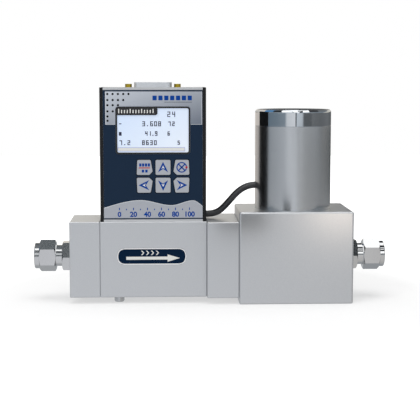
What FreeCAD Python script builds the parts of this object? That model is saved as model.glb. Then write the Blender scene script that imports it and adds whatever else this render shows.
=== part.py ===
# Gas mass flow meter with a built-in solenoid control valve.
# Millimetres. +X runs with the flow, -Y faces the display side, +Z is up, and the floor is Z = 0.
import FreeCAD, Part
import math
import os
import re
import Sketcher

SIZES = [
    # Flow body: four blocks in a row, bored through on one flow axis
    ("inlet_length", 20.5, "inlet block along the flow"),
    ("sensor_length", 72.0, "sensor block along the flow"),
    ("adapter_length", 21.5, "adapter block along the flow"),
    ("valve_length", 77.0, "valve block along the flow"),
    ("sensor_depth", 43.0, "inlet and sensor block, front to back"),
    ("adapter_depth", 54.0, "adapter block, front to back"),
    ("valve_overhang", 1.5, "valve block past the adapter block, front and back"),
    ("body_height", 51.3, "height of the three left blocks"),
    ("body_lift", 4.3, "gap under the three left blocks"),
    ("valve_height", 62.5, "height of the valve block"),
    ("flow_height", 30.0, "flow axis above the floor"),
    ("edge_break", 0.4, "bevel on the left blocks' edges"),
    ("valve_edge", 1.2, "rounding on the valve block's edges"),
    ("passage_radius", 4.0, "gas passage"),
    ("port_depth", 12.0, "tapped port for a fitting"),
    # Fits
    ("thread_play", 0.05, "screw to its tapped hole"),
    ("hole_play", 0.25, "screw to a plain hole, on the radius"),
    ("seat_play", 0.1, "piece to the recess or frame that holds it"),
    # Block screws and bolts
    ("screw_radius", 2.0, "block screw shank"),
    ("screw_head_radius", 3.5, "block screw head"),
    ("screw_head_height", 4.0, "block screw head"),
    ("screw_socket", 1.73, "hexagon socket, centre to corner"),
    ("head_sink", 0.6, "block screw and bolt heads below the face"),
    ("screw_grip", 12.0, "length of thread in the sensor block"),
    ("thread_run_out", 2.0, "tapped hole past the screw's end"),
    ("screw_edge", 6.0, "block screw from the sensor block's front and back"),
    ("screw_edge_up", 6.65, "block screw from the block's top and underside"),
    ("bolt_radius", 2.5, "valve block bolt shank"),
    ("bolt_head_radius", 4.25, "valve block bolt head"),
    ("bolt_head_height", 5.0, "valve block bolt head"),
    ("bolt_socket", 2.31, "hexagon socket, centre to corner"),
    ("bolt_grip", 12.0, "length of thread in the adapter block"),
    ("bolt_edge", 4.5, "bolt from the adapter block's front and back"),
    ("bolt_rise", 10.0, "bolt from the flow axis"),
    # Face seals
    ("seal_cord", 1.0, "O-ring section radius"),
    ("seal_play", 0.05, "O-ring to its groove"),
    ("seal_land", 1.4, "metal between the element's bore and the inlet O-ring"),
    ("passage_seal_radius", 8.0, "O-rings beside the adapter block"),
    # Inlet filter and laminar flow element
    ("filter_radius", 11.5, "sintered disc"),
    ("filter_thickness", 2.5, "sintered disc"),
    ("filter_gap", 2.0, "hollow in front of the filter"),
    ("filter_ledge", 1.5, "ledge that stops the filter, on the radius"),
    ("element_radius", 13.0, "laminar flow element"),
    ("element_start", 3.0, "element from the sensor block's left face"),
    ("element_end_gap", 5.0, "hollow behind the element"),
    ("element_bore_wall", 10.0, "metal past the end of the element's bore"),
    ("element_groove_depth", 2.0, "flow grooves in the element"),
    ("element_groove_width", 2.2, "flow grooves in the element"),
    # Support feet
    ("foot_radius", 3.4, "round foot"),
    ("foot_round", 1.2, "rounding on the foot's lower edge"),
    ("foot_stud_radius", 2.0, "threaded stud of a foot"),
    ("foot_stud_length", 4.0, "threaded stud of a foot"),
    ("foot_along", 12.5, "feet from the sensor block's left face"),
    ("foot_edge", 8.5, "feet from the sensor block's front and back"),
    # Flow label on the front
    ("label_width", 46.4, "flow label"),
    ("label_height", 11.1, "flow label"),
    ("label_thickness", 0.3, "flow label"),
    ("label_straight", 1.9, "straight stretch at the flow label's ends"),
    ("label_shift", -1.2, "label's middle from the sensor block's middle"),
    ("label_rise", 2.2, "label's middle above the flow axis"),
    # Tube fittings, measured outwards from the block's face
    ("stub_radius", 6.7, "threaded stub of the fitting body"),
    ("stub_gap", 1.0, "stub's end to the bottom of its port"),
    ("stub_bevel", 0.8, "bevel on the stub's end"),
    ("hex_across", 19.0, "hexagons across flats"),
    ("body_hex_length", 6.2, "hexagon of the fitting body"),
    ("neck_radius", 7.35, "threaded neck of the fitting body"),
    ("neck_end", 17.0, "neck's mouth from the block's face"),
    ("neck_bevel", 0.6, "bevel on the neck's end"),
    ("tube_radius", 5.0, "tube that the fitting takes"),
    ("tube_play", 0.05, "tube to the fitting's bore"),
    ("tube_stop", 5.0, "shoulder that stops the tube"),
    ("mouth_depth", 1.8, "cone in the neck's mouth"),
    ("mouth_flare", 1.1, "cone in the neck's mouth, on the radius"),
    ("nut_start", 10.6, "nut from the block's face"),
    ("nut_hex_length", 11.2, "nut's hexagon"),
    ("nut_collar_length", 3.4, "nut's round end"),
    ("nut_collar_radius", 8.9, "nut's round end"),
    ("nut_bevel", 0.9, "bevel across the hexagon's corners"),
    ("collar_bevel", 0.5, "bevel on the nut's round end"),
    ("nose_gap", 0.2, "front ferrule's nose from the bottom of the mouth"),
    ("nose_edge", 0.05, "front ferrule's nose, on the radius"),
    ("front_ferrule_back", 1.4, "front ferrule past the neck's end"),
    ("ferrule_wall", 1.5, "ferrules, on the radius"),
    ("back_ferrule_length", 2.0, "back ferrule"),
    # Valve: bores in the valve block under the can
    ("seat_floor", 6.0, "seat's recess above the flow axis"),
    ("chamber_floor", 10.0, "valve chamber's floor above the flow axis"),
    ("seat_lip", 15.0, "seat's lip above the flow axis"),
    ("seat_radius", 6.0, "valve seat"),
    ("seat_nose_height", 2.5, "valve seat's nose"),
    ("seat_taper", 1.0, "taper at the nose's lip, along the axis"),
    ("lip_width", 0.7, "flat lip round the orifice"),
    ("seat_nose_radius", 3.2, "valve seat's nose"),
    ("orifice_radius", 1.5, "valve seat's orifice"),
    ("exit_radius", 3.0, "bore under the seat"),
    ("chamber_play", 1.0, "valve chamber round the plunger's bore"),
    ("seal_shelf", 4.9, "shelf for the flange's O-ring, on the radius"),
    ("plenum_depth", 10.0, "hollow under the flange"),
    ("riser_radius", 2.0, "bore from the inlet passage to the plenum"),
    ("riser_edge", 0.3, "riser from the hollow's wall"),
    ("mount_hole_radius", 1.65, "tapped mounting hole"),
    ("mount_hole_depth", 9.0, "tapped mounting hole"),
    ("mount_along", 60.0, "mounting holes apart, along the flow"),
    ("mount_across", 40.0, "mounting holes apart, front to back"),
    # Valve: guide tube, plunger and core
    ("flange_land", 1.4, "metal between the flange and the ring's screws"),
    ("flange_thickness", 4.0, "guide tube's flange"),
    ("guide_radius", 8.0, "guide tube"),
    ("guide_wall", 1.0, "guide tube"),
    ("coil_clearance", 2.0, "coil's top plate below the cap's spigot"),
    ("plunger_play", 0.08, "plunger to the guide tube, on the radius"),
    ("plunger_length", 44.0, "plunger"),
    ("plunger_slot", 1.2, "gas slots along the plunger"),
    ("plunger_bevel", 0.8, "bevel on the plunger's foot"),
    ("plunger_top_bevel", 0.4, "bevel on the plunger's top"),
    ("core_bevel", 0.5, "bevel on the core's foot"),
    ("lift_gap", 0.05, "seal to the seat's lip when shut"),
    ("stroke", 1.0, "plunger's travel"),
    ("core_gap", 0.1, "plunger to the core when open"),
    ("seat_seal_radius", 4.2, "elastomer disc in the plunger"),
    ("seat_seal_thickness", 2.0, "elastomer disc in the plunger"),
    ("spring_play", 0.4, "spring to the wall of its bore"),
    ("spring_end_gap", 0.05, "spring to the faces at its ends"),
    ("spring_wire", 0.4, "spring wire's radius"),
    ("spring_pocket_radius", 3.6, "bore in the plunger's top"),
    ("spring_pocket_depth", 12.0, "bore in the plunger's top"),
    ("core_stud_radius", 4.0, "core's threaded end"),
    ("core_stud_length", 12.5, "core's threaded end above the guide tube"),
    # Coil and can
    ("can_radius", 26.0, "can"),
    ("can_wall", 2.0, "can"),
    ("can_height", 56.8, "can without its cap"),
    ("cap_height", 11.1, "polished cap"),
    ("cap_top", 3.0, "cap's top wall"),
    ("cap_round", 1.9, "rounding on the cap's top edge"),
    ("cap_spigot", 4.0, "cap's spigot in the can"),
    ("cap_seam", 0.15, "bevel each side of the can's seam"),
    ("ring_thickness", 5.0, "ring under the coil"),
    ("ring_screw_edge", 0.5, "ring screws' heads from the ring's edge"),
    ("small_screw_radius", 1.5, "M3 screw shank"),
    ("small_head_radius", 2.75, "M3 screw head"),
    ("small_head_height", 2.0, "M3 screw head"),
    ("small_socket", 1.15, "M3 hexagon socket, centre to corner"),
    ("small_grip", 6.0, "M3 screw's length of thread"),
    ("small_run_out", 1.0, "tapped hole past an M3 screw's end"),
    ("bobbin_tube", 1.2, "bobbin's tube wall"),
    ("bobbin_flange", 1.6, "bobbin's flanges"),
    ("bobbin_gap", 1.2, "bobbin's flanges to the can"),
    ("winding_sink", 0.8, "winding below the flanges' edge"),
    ("top_plate_gap", 0.3, "coil's top plate to the can"),
    ("top_plate_thickness", 4.5, "steel plate on the coil"),
    ("coil_nut_across", 13.0, "coil nut across flats"),
    ("coil_nut_height", 6.5, "coil nut"),
    # Display housing on the sensor block
    ("housing_inset", 0.5, "housing short of the sensor block at each end"),
    ("housing_depth", 41.0, "housing, front to back"),
    ("housing_height", 89.8, "housing above the sensor block"),
    ("housing_wall", 2.2, "housing shell"),
    ("rear_round", 2.0, "shell's rear corners"),
    ("front_round", 0.6, "shell's front corners"),
    ("plate_thickness", 1.5, "base plate and top cover"),
    ("boss_size", 6.5, "screw bosses in the shell's corners"),
    ("panel_thickness", 1.5, "front panel behind the overlay"),
    ("overlay_thickness", 0.4, "printed overlay"),
    ("overlay_play", 0.15, "overlay inside the shell's front edges"),
    ("overlay_corner", 1.0, "overlay's corner radius"),
    ("base_screw_inset", 6.3, "base plate screws from the shell's inner wall"),
    ("base_screw_gap", 0.75, "base plate screws' heads to the front bosses"),
    # Front of the housing: heights from the sensor block's top
    ("display_height", 31.7, "black display frame"),
    ("display_drop", 12.65, "display frame's top edge below the housing's top"),
    ("display_rim", 1.05, "black rim round the screen"),
    ("display_corner", 2.2, "display frame's corner radius"),
    ("display_proud", 0.1, "display frame in front of the overlay"),
    ("tab_width", 27.0, "dark tab over the screen's top left"),
    ("tab_height", 4.7, "dark tab over the screen's top left"),
    ("tab_corner", 1.4, "tab's lower right corner radius"),
    ("screen_recess", 0.5, "screen behind the display frame's face"),
    ("module_gap", 0.8, "display module to the shell's bosses"),
    ("module_rim", 1.1, "display module past the frame's sides"),
    ("module_rim_up", 1.65, "display module past the frame's top and foot"),
    ("module_thickness", 4.0, "display module"),
    ("key_width", 10.6, "key"),
    ("key_height", 10.0, "key"),
    ("key_slant", 1.3, "slant of the outer keys' sides"),
    ("key_clip", 2.2, "clipped corner of the outer keys"),
    ("key_pitch", 12.3, "keys apart, along the row"),
    ("key_row_pitch", 11.95, "rows of keys apart"),
    ("key_inset", 0.7, "keys' right edge inside the display frame's"),
    ("key_emboss", 0.25, "keys stand out of the overlay"),
    ("key_corner", 0.9, "keys' corner radius"),
    ("dome_radius", 2.6, "snap dome"),
    ("dome_play", 0.6, "snap dome to its hole in the panel"),
    ("keypad_margin", 1.4, "keypad board past the keys"),
    ("keypad_gap", 0.8, "keypad board below the display module"),
    ("keypad_thickness", 1.2, "keypad board"),
    ("board_headroom", 11.8, "main board below the housing's top"),
    ("board_thickness", 1.6, "main board"),
    ("board_foot", 8.0, "main board above the sensor block"),
    ("standoff_length", 7.3, "standoff behind the main board"),
    ("standoff_radius", 2.5, "standoff behind the main board"),
    ("standoff_inset", 4.0, "standoff from the board's edges"),
    ("standoff_gap", 0.3, "standoff to the shell's corner bosses"),
    ("chip_height", 1.6, "flat components"),
    ("header_height", 6.0, "connectors and tall components"),
    # D-sub connector on the top cover
    ("dsub_end_gap", 6.6, "connector's shell short of the jackposts' pitch"),
    ("dsub_depth", 8.4, "connector's metal shell"),
    ("dsub_slant", 0.75, "slant of the shell's ends"),
    ("dsub_corner", 2.2, "corner radius of the shell"),
    ("dsub_wall", 0.5, "connector's metal shell"),
    ("dsub_rise", 3.4, "shell above the cover"),
    ("dsub_flange_end", 2.95, "flange past each jackpost's axis"),
    ("dsub_flange_depth", 12.5, "connector's flange"),
    ("dsub_flange_thickness", 0.8, "connector's flange"),
    ("dsub_body_depth", 6.0, "insert behind the flange"),
    ("dsub_body_rim", 0.8, "insert behind the flange, past the shell's outline"),
    ("dsub_sink", 0.4, "insert's face below the shell's rim"),
    ("pin_pitch", 2.77, "contacts apart in a row"),
    ("pin_row_pitch", 2.84, "rows of contacts apart"),
    ("pin_hole_radius", 0.55, "contact hole"),
    ("pin_hole_depth", 4.0, "contact hole"),
    ("post_pitch", 33.3, "jackposts apart"),
    ("post_across", 4.0, "jackpost across flats"),
    ("post_height", 2.3, "jackpost above the cover"),
    ("post_shank_radius", 1.4, "jackpost's shank"),
    ("post_shank_length", 6.0, "jackpost's shank"),
    ("post_hole_radius", 1.1, "tapped hole in the jackpost"),
    # Flow sensor inside the housing
    ("capillary_radius", 0.5, "sensor tube"),
    ("capillary_play", 0.05, "sensor tube to its holes"),
    ("capillary_span", 18.0, "sensor tube's legs apart"),
    ("heater_headroom", 1.9, "windings below the cover's inside"),
    ("capillary_bend", 3.0, "sensor tube's bend radius"),
    ("capillary_drop", 5.0, "sensor tube's legs in the block"),
    ("sensor_base_width", 30.0, "sensor base along the flow"),
    ("sensor_base_depth", 12.0, "sensor base, front to back"),
    ("sensor_base_height", 5.0, "sensor base"),
    ("sensor_cover_height", 14.0, "sensor cover"),
    ("sensor_cover_wall", 1.5, "sensor cover"),
    ("heater_radius", 1.6, "windings on the sensor tube"),
    ("heater_end_gap", 1.0, "windings to the sensor tube's bends"),
    ("heater_gap", 2.0, "between the two windings"),
    # Cuts
    ("overrun", 1.0, "cuts run this far past the surface they open"),
    # Lead from the housing to the can
    ("cable_radius", 2.25, "lead"),
    ("cable_play", 0.05, "lead to its bushes"),
    ("bush_wall", 0.5, "bush round the lead"),
    ("cable_entry_rise", 16.0, "lead above the valve block where it enters the can"),
]

# Sizes that follow from the ones above
FOLLOWING = [
    ("valve_depth", "adapter_depth + 2 * valve_overhang", "valve block, front to back"),
    ("screw_recess", "screw_head_height + head_sink", "counterbore depth for a block screw"),
    ("screw_side", "sensor_depth / 2 - screw_edge", "block screw from the middle plane"),
    ("screw_rise", "body_height / 2 - screw_edge_up", "block screw from the flow axis"),
    ("bolt_recess", "bolt_head_height + head_sink", "counterbore depth for a bolt"),
    ("bolt_side", "adapter_depth / 2 - bolt_edge", "bolt from the middle plane"),
    ("inlet_seal_radius", "element_radius + seat_play + seal_land + seal_play + seal_cord", "inlet O-ring"),
    ("element_bore_depth", "sensor_length - element_bore_wall", "bore for the element"),
    ("element_length", "element_bore_depth - element_start - element_end_gap", "laminar flow element"),
    ("foot_side", "sensor_depth / 2 - foot_edge", "feet from the middle plane"),
    ("label_corner", "(label_height - label_straight) / 2", "flow label's corner radius"),
    ("stub_length", "port_depth - stub_gap", "threaded stub of the fitting body"),
    ("front_ferrule_end", "neck_end + front_ferrule_back", "front ferrule's back"),
    ("nut_hex_end", "nut_start + nut_hex_length", "end of the nut's hexagon"),
    ("nut_end", "nut_hex_end + nut_collar_length", "nut's end from the block's face"),
    ("seat_body_height", "seat_lip - seat_floor - seat_nose_height", "valve seat below its nose"),
    ("ring_screw_circle", "can_radius - can_wall - seat_play - ring_screw_edge - small_head_radius - hole_play",
     "ring screws from the can's axis"),
    ("flange_radius", "ring_screw_circle - small_screw_radius - flange_land", "guide tube's flange"),
    ("flange_seal_radius", "flange_radius - seal_shelf / 2", "O-ring under the guide tube flange"),
    ("plenum_radius", "flange_radius - seal_shelf", "hollow under the flange"),
    ("riser_offset", "plenum_radius - riser_edge - riser_radius", "riser from the valve axis"),
    ("guide_bore", "guide_radius - guide_wall", "guide tube's bore"),
    ("plunger_radius", "guide_bore - plunger_play", "plunger"),
    ("chamber_radius", "guide_bore + chamber_play", "valve chamber"),
    ("guide_length", "can_height - cap_spigot - coil_clearance - top_plate_thickness", "guide tube"),
    ("bobbin_length", "guide_length - ring_thickness - 2 * seat_play", "bobbin"),
    ("bobbin_bore", "guide_radius + seat_play", "bobbin's bore"),
    ("bobbin_radius", "can_radius - can_wall - bobbin_gap", "bobbin's flanges"),
    ("winding_radius", "bobbin_radius - winding_sink", "coil winding"),
    ("top_plate_radius", "can_radius - can_wall - top_plate_gap", "steel plate on the coil"),
    ("spigot_radius", "can_radius - can_wall - seat_play", "cap's spigot in the can"),
    ("spring_radius", "spring_pocket_radius - spring_play - spring_wire", "spring, to its wire's middle"),
    ("housing_width", "sensor_length - 2 * housing_inset", "housing along the flow"),
    ("inner_half", "housing_width / 2 - housing_wall", "shell's side walls from its middle"),
    ("rear_inner", "housing_depth / 2 - housing_wall", "shell's rear wall from its middle"),
    ("panel_back", "housing_depth / 2 - overlay_thickness - panel_thickness", "front panel's back"),
    ("base_screw_along", "inner_half - base_screw_inset", "base plate screws from the middle"),
    ("base_screw_side", "panel_back - seat_play - boss_size - base_screw_gap - small_head_radius",
     "base plate screws from the middle plane"),
    ("cover_sink", "plate_thickness - 2 * seat_play", "depth of a countersunk head"),
    ("module_width", "2 * (inner_half - boss_size - module_gap)", "display module"),
    ("module_height", "display_height + 2 * module_rim_up", "display module"),
    ("display_width", "module_width - 2 * module_rim", "black display frame"),
    ("display_rise", "housing_height - display_drop - display_height / 2", "display's middle, upwards"),
    ("frame_depth", "panel_thickness + overlay_thickness + display_proud", "display frame, front to back"),
    ("tab_thickness", "screen_recess - seat_play", "dark tab over the screen's top left"),
    ("tab_left", "display_rim - seat_play - display_width / 2", "tab's left end from the middle"),
    ("tab_high", "display_rise + display_height / 2 - display_rim + seat_play", "tab's top edge"),
    ("key_middle", "display_width / 2 - key_inset - key_width / 2 - key_pitch", "middle column of keys"),
    ("keypad_width", "2 * key_pitch + key_width + 2 * keypad_margin", "keypad board"),
    ("keypad_height", "key_row_pitch + key_height + 2 * keypad_margin", "keypad board"),
    ("key_rise", "display_rise - module_height / 2 - keypad_gap - keypad_height / 2", "between the rows"),
    ("dome_hole_radius", "dome_radius + dome_play", "hole for a snap dome"),
    ("standoff_side", "inner_half - boss_size - standoff_gap - standoff_radius", "standoffs, sideways"),
    ("board_width", "2 * (standoff_side + standoff_inset)", "main board"),
    ("board_height", "housing_height - board_foot - board_headroom", "main board"),
    ("dsub_width", "post_pitch - dsub_end_gap", "connector's metal shell"),
    ("dsub_flange_width", "post_pitch + 2 * dsub_flange_end", "connector's flange"),
    ("dsub_height", "dsub_flange_thickness + seat_play + plate_thickness + dsub_rise", "connector's shell"),
    ("capillary_rise",
     "sensor_base_height + sensor_cover_height - sensor_cover_wall - heater_headroom - heater_radius",
     "sensor tube's top above the block"),
    ("heater_length", "capillary_span / 2 - capillary_bend - heater_end_gap - heater_gap / 2",
     "windings on the sensor tube"),
    ("bush_radius", "cable_radius + cable_play + bush_wall", "bush round the lead"),
    ("cable_exit_rise", "bush_radius", "lead above the sensor block where it leaves"),
    ("cable_start_x", "sensor_length / 2 - (sensor_length + adapter_length + valve_length + inlet_length) / 2"
     " + inlet_length + inner_half", "lead's start, at the shell's inner wall"),
    ("cable_end_x", "(inlet_length + sensor_length + adapter_length) / 2 - can_radius + can_wall",
     "lead's end, at the can's inner wall"),
    ("cable_start_z", "body_lift + body_height + cable_exit_rise", "lead's start above the floor"),
    ("cable_end_z", "valve_height + cable_entry_rise", "lead's end above the floor"),
]

# The lead's route in the middle plane, as shares of the way along X and up Z from its start to its end
CABLE_ROUTE = [
    (0, 0),
    (0.1705, 0),
    (0.3127, 0.0995),
    (0.4212, 0.2985),
    (0.5323, 0.5473),
    (0.6434, 0.7761),
    (0.7778, 0.9403),
    (0.9121, 1),
    (1, 1),
]

# Components on the main board: middle as shares of its width and height, then width, height and rise
COMPONENTS = [
    (-0.09, 0.55, "14", "14", "chip_height"),
    (0.23, 0.56, "10", "8", "chip_height"),
    (-0.30, 0.31, "6", "8", "chip_height"),
    (0.23, 0.24, "14", "6", "header_height"),
    (0.02, 0.79, "22", "6", "header_height"),
]

doc = FreeCAD.newDocument("GasMassFlowMeter")
sheet = doc.addObject("Spreadsheet::Sheet", "Sizes")
for row, (alias, value, meaning) in enumerate(SIZES + FOLLOWING, start=1):
    sheet.set("A%d" % row, meaning)
    sheet.set("B%d" % row, "=" + str(value))
    sheet.setAlias("B%d" % row, alias)
doc.recompute()

KNOWN = re.compile(r"\b(" + "|".join(alias for alias, value, meaning in SIZES + FOLLOWING) + r")\b")
NODES = []


def cell(text):
    """An expression in plain size names, with each name pointed at its cell in the sheet."""
    return KNOWN.sub(r"Sizes.\1", text)


def size(alias):
    """A size's value, for shapes that are worked out here."""
    return float(sheet.get(alias))


def place(piece, x, y, z, direction=(0, 0, 1)):
    """Put a piece's origin at x, y, z, with its own Z axis along a direction."""
    turn = FreeCAD.Rotation(FreeCAD.Vector(0, 0, 1), FreeCAD.Vector(*direction))
    piece.Placement = FreeCAD.Placement(FreeCAD.Vector(), turn)
    for axis, text in zip("xyz", (x, y, z)):
        piece.setExpression("Placement.Base." + axis, cell(text))


def loose_body(label, x="0", y="0", z="0", turn=0):
    """A body, turned about the vertical and placed."""
    piece = doc.addObject("PartDesign::Body", label)
    piece.Label = label
    piece.Placement.Rotation = FreeCAD.Rotation(FreeCAD.Vector(0, 0, 1), turn)
    for axis, text in zip("xyz", (x, y, z)):
        piece.setExpression("Placement.Base." + axis, cell(text))
    return piece


def body(label, x="0", y="0", z="0", turn=0):
    """A body that is a sub-part of its own."""
    piece = loose_body(label, x, y, z, turn)
    NODES.append(piece)
    return piece


def sketch(piece, plane, offset="0"):
    """A sketch on one of the body's own planes, moved along the plane's normal."""
    drawing = piece.newObject("Sketcher::SketchObject", piece.Name + "_sketch")
    for feature in piece.Origin.OriginFeatures:
        if feature.Role == plane:
            drawing.AttachmentSupport = [(feature, "")]
    drawing.MapMode = "FlatFace"
    drawing.setExpression("AttachmentOffset.Base.z", cell(offset))
    return drawing


def fix(drawing, constraints, texts):
    """Add constraints and bind each one's value to an expression."""
    first = drawing.ConstraintCount
    drawing.addConstraint(constraints)
    for index, text in enumerate(texts):
        drawing.setExpression("Constraints[%d]" % (first + index), cell(text))


def outline(drawing, corners):
    """A closed outline of straight lines through corners given as pairs of expressions."""
    count = len(corners)
    start = drawing.GeometryCount
    turn = 2 * math.pi / count
    spots = [FreeCAD.Vector(math.cos(turn * i), math.sin(turn * i), 0) for i in range(count)]
    lines = [Part.LineSegment(spots[i], spots[(i + 1) % count]) for i in range(count)]
    drawing.addGeometry(lines, False)
    joins = []
    for i in range(count):
        joins.append(Sketcher.Constraint("Coincident", start + i, 2, start + (i + 1) % count, 1))
    drawing.addConstraint(joins)
    constraints = []
    texts = []
    for i, (across, up) in enumerate(corners):
        constraints.append(Sketcher.Constraint("DistanceX", start + i, 1, spots[i].x))
        constraints.append(Sketcher.Constraint("DistanceY", start + i, 1, spots[i].y))
        texts += [across, up]
    fix(drawing, constraints, texts)


def rectangle(drawing, left, right, low, high):
    """A rectangle between two expressions across and two up."""
    outline(drawing, [(left, low), (right, low), (right, high), (left, high)])


def circles(drawing, spots):
    """Circles, each given as expressions for its centre and radius."""
    for across, up, radius in spots:
        ring = Part.Circle(FreeCAD.Vector(1, 1, 0), FreeCAD.Vector(0, 0, 1), 1)
        geometry = drawing.addGeometry(ring, False)
        constraints = [
            Sketcher.Constraint("DistanceX", geometry, 3, 1.0),
            Sketcher.Constraint("DistanceY", geometry, 3, 1.0),
            Sketcher.Constraint("Radius", geometry, 1.0),
        ]
        fix(drawing, constraints, [across, up, radius])


def pad(piece, drawing, length):
    """Grow a sketch along its normal."""
    feature = piece.newObject("PartDesign::Pad", piece.Name + "_pad")
    feature.Profile = drawing
    feature.setExpression("Length", cell(length))
    drawing.Visibility = False
    return feature


def pocket(piece, drawing, depth, forward=False):
    """Cut a sketch into the body, against its normal or forward along it."""
    feature = piece.newObject("PartDesign::Pocket", piece.Name + "_pocket")
    feature.Profile = drawing
    feature.setExpression("Length", cell(depth))
    feature.Reversed = forward
    drawing.Visibility = False
    return feature


def drill(piece, plane, offset, spots, depth, forward=False):
    """Round holes from a plane into the body."""
    drawing = sketch(piece, plane, offset)
    circles(drawing, spots)
    return pocket(piece, drawing, depth, forward)


def turned(piece, drawing, kind="PartDesign::Revolution", axis="V_Axis"):
    """Turn a sketch about its own axis, to add material or as a groove to cut it."""
    feature = piece.newObject(kind, piece.Name + "_turned")
    feature.Profile = drawing
    feature.ReferenceAxis = (drawing, [axis])
    feature.Angle = 360
    drawing.Visibility = False
    return feature


def edge_names(shape, wanted):
    """The names of a shape's edges that pass a test."""
    return ["Edge%d" % i for i, edge in enumerate(shape.Edges, start=1) if wanted(edge)]


def finish_edges(piece, kind, amount, wanted):
    """Round or bevel the edges of the body's last feature that pass a test."""
    doc.recompute()
    last = piece.Tip
    feature = piece.newObject(kind, piece.Name + "_edges")
    feature.Base = (last, edge_names(last.Shape, wanted))
    feature.setExpression("Size" if kind == "PartDesign::Chamfer" else "Radius", cell(amount))
    return feature


def bevel(piece, amount, wanted):
    return finish_edges(piece, "PartDesign::Chamfer", amount, wanted)


def round_over(piece, amount, wanted):
    return finish_edges(piece, "PartDesign::Fillet", amount, wanted)


def every(edge):
    """A test that every edge passes."""
    return True


def along(axis):
    """A test for straight edges that run along X, Y or Z."""
    def wanted(edge):
        if edge.Curve.TypeId != "Part::GeomLine":
            return False
        return abs(abs(edge.Curve.Direction.dot(axis)) - 1) < 1e-6
    return wanted


def at_height(height, radius=None):
    """A test for edges that lie level at a height, and have a radius if one is given."""
    def wanted(edge):
        box = edge.BoundBox
        level = abs(box.ZMin - height) < 1e-4 and abs(box.ZMax - height) < 1e-4
        if radius is None or not level:
            return level
        return edge.Curve.TypeId == "Part::GeomCircle" and abs(edge.Curve.Radius - radius) < 1e-4
    return wanted


UP = FreeCAD.Vector(0, 0, 1)
BACK = FreeCAD.Vector(0, 1, 0)

# Where each block starts along the flow. The origin is under the middle of the whole row.
INLET_FACE = "(-(inlet_length + sensor_length + adapter_length + valve_length) / 2)"
SENSOR_FACE = "(" + INLET_FACE + " + inlet_length)"
ADAPTER_FACE = "(" + SENSOR_FACE + " + sensor_length)"
VALVE_FACE = "(" + ADAPTER_FACE + " + adapter_length)"
OUTLET_FACE = "(" + VALVE_FACE + " + valve_length)"
VALVE_AXIS = "(" + VALVE_FACE + " + valve_length / 2)"
SENSOR_MIDDLE = "(" + SENSOR_FACE + " + sensor_length / 2)"
SENSOR_TOP = "(body_lift + body_height)"

FOUR_WAYS = [(-1, -1), (1, -1), (1, 1), (-1, 1)]


def four(across, up, radius):
    """Four circles at the corners of a rectangle about the sketch's origin."""
    return [("%d * %s" % (i, across), "%d * %s" % (j, up), radius) for i, j in FOUR_WAYS]


def block(label, face, length, depth):
    """One of the three left blocks, from its left face, with its edges broken."""
    piece = body(label, face, "0", "flow_height")
    drawing = sketch(piece, "YZ_Plane")
    low = "body_lift - flow_height"
    rectangle(drawing, "-" + depth + " / 2", depth + " / 2", low, low + " + body_height")
    pad(piece, drawing, length)
    bevel(piece, "edge_break", every)
    return piece


def seal_groove(piece, plane, offset, radius, forward):
    """A round groove for an O-ring in a face."""
    drawing = sketch(piece, plane, offset)
    circles(drawing, [("0", "0", radius + " - seal_cord - seal_play")])
    circles(drawing, [("0", "0", radius + " + seal_cord + seal_play")])
    pocket(piece, drawing, "2 * seal_cord + seal_play", forward)


# Inlet block: port for the fitting on the left, filter and seal on the right
inlet_block = block("inlet_block", INLET_FACE, "inlet_length", "sensor_depth")
drill(inlet_block, "YZ_Plane", "0", [("0", "0", "stub_radius + thread_play")], "port_depth", True)
drill(inlet_block, "YZ_Plane", "0", [("0", "0", "passage_radius")], "inlet_length", True)
drill(inlet_block, "YZ_Plane", "inlet_length", [("0", "0", "filter_radius + seat_play")],
      "filter_thickness")
drill(inlet_block, "YZ_Plane", "inlet_length", [("0", "0", "filter_radius - filter_ledge")],
      "filter_thickness + filter_gap")
seal_groove(inlet_block, "YZ_Plane", "inlet_length", "inlet_seal_radius", False)
drill(inlet_block, "YZ_Plane", "0", four("screw_side", "screw_rise", "screw_radius + hole_play"),
      "inlet_length", True)
drill(inlet_block, "YZ_Plane", "0", four("screw_side", "screw_rise", "screw_head_radius + hole_play"),
      "screw_recess", True)

# Sensor block: wide bore for the flow element, taps for the sensor tube, threads on every side
sensor_block = block("sensor_block", SENSOR_FACE, "sensor_length", "sensor_depth")
drill(sensor_block, "YZ_Plane", "0", [("0", "0", "element_radius + seat_play")],
      "element_bore_depth", True)
drill(sensor_block, "YZ_Plane", "0", [("0", "0", "passage_radius")], "sensor_length", True)
drill(sensor_block, "YZ_Plane", "0", four("screw_side", "screw_rise", "screw_radius + thread_play"),
      "screw_grip + thread_run_out", True)
drill(sensor_block, "YZ_Plane", "sensor_length",
      four("screw_side", "screw_rise", "screw_radius + thread_play"), "screw_grip + thread_run_out")
sensor_block_top = "body_lift + body_height - flow_height"
drill(sensor_block, "XY_Plane", sensor_block_top,
      [("sensor_length / 2 - capillary_span / 2", "0", "capillary_radius + capillary_play"),
       ("sensor_length / 2 + capillary_span / 2", "0", "capillary_radius + capillary_play")],
      sensor_block_top + " - element_radius + overrun")
drill(sensor_block, "XY_Plane", sensor_block_top,
      [("sensor_length / 2 + %d * base_screw_along" % i, "%d * base_screw_side" % j,
        "small_screw_radius + thread_play") for i, j in FOUR_WAYS], "small_grip + small_run_out")
drill(sensor_block, "XY_Plane", "body_lift - flow_height",
      [("foot_along", "%d * foot_side" % j, "foot_stud_radius + thread_play") for j in (-1, 1)],
      "foot_stud_length + small_run_out / 2", True)

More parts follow.
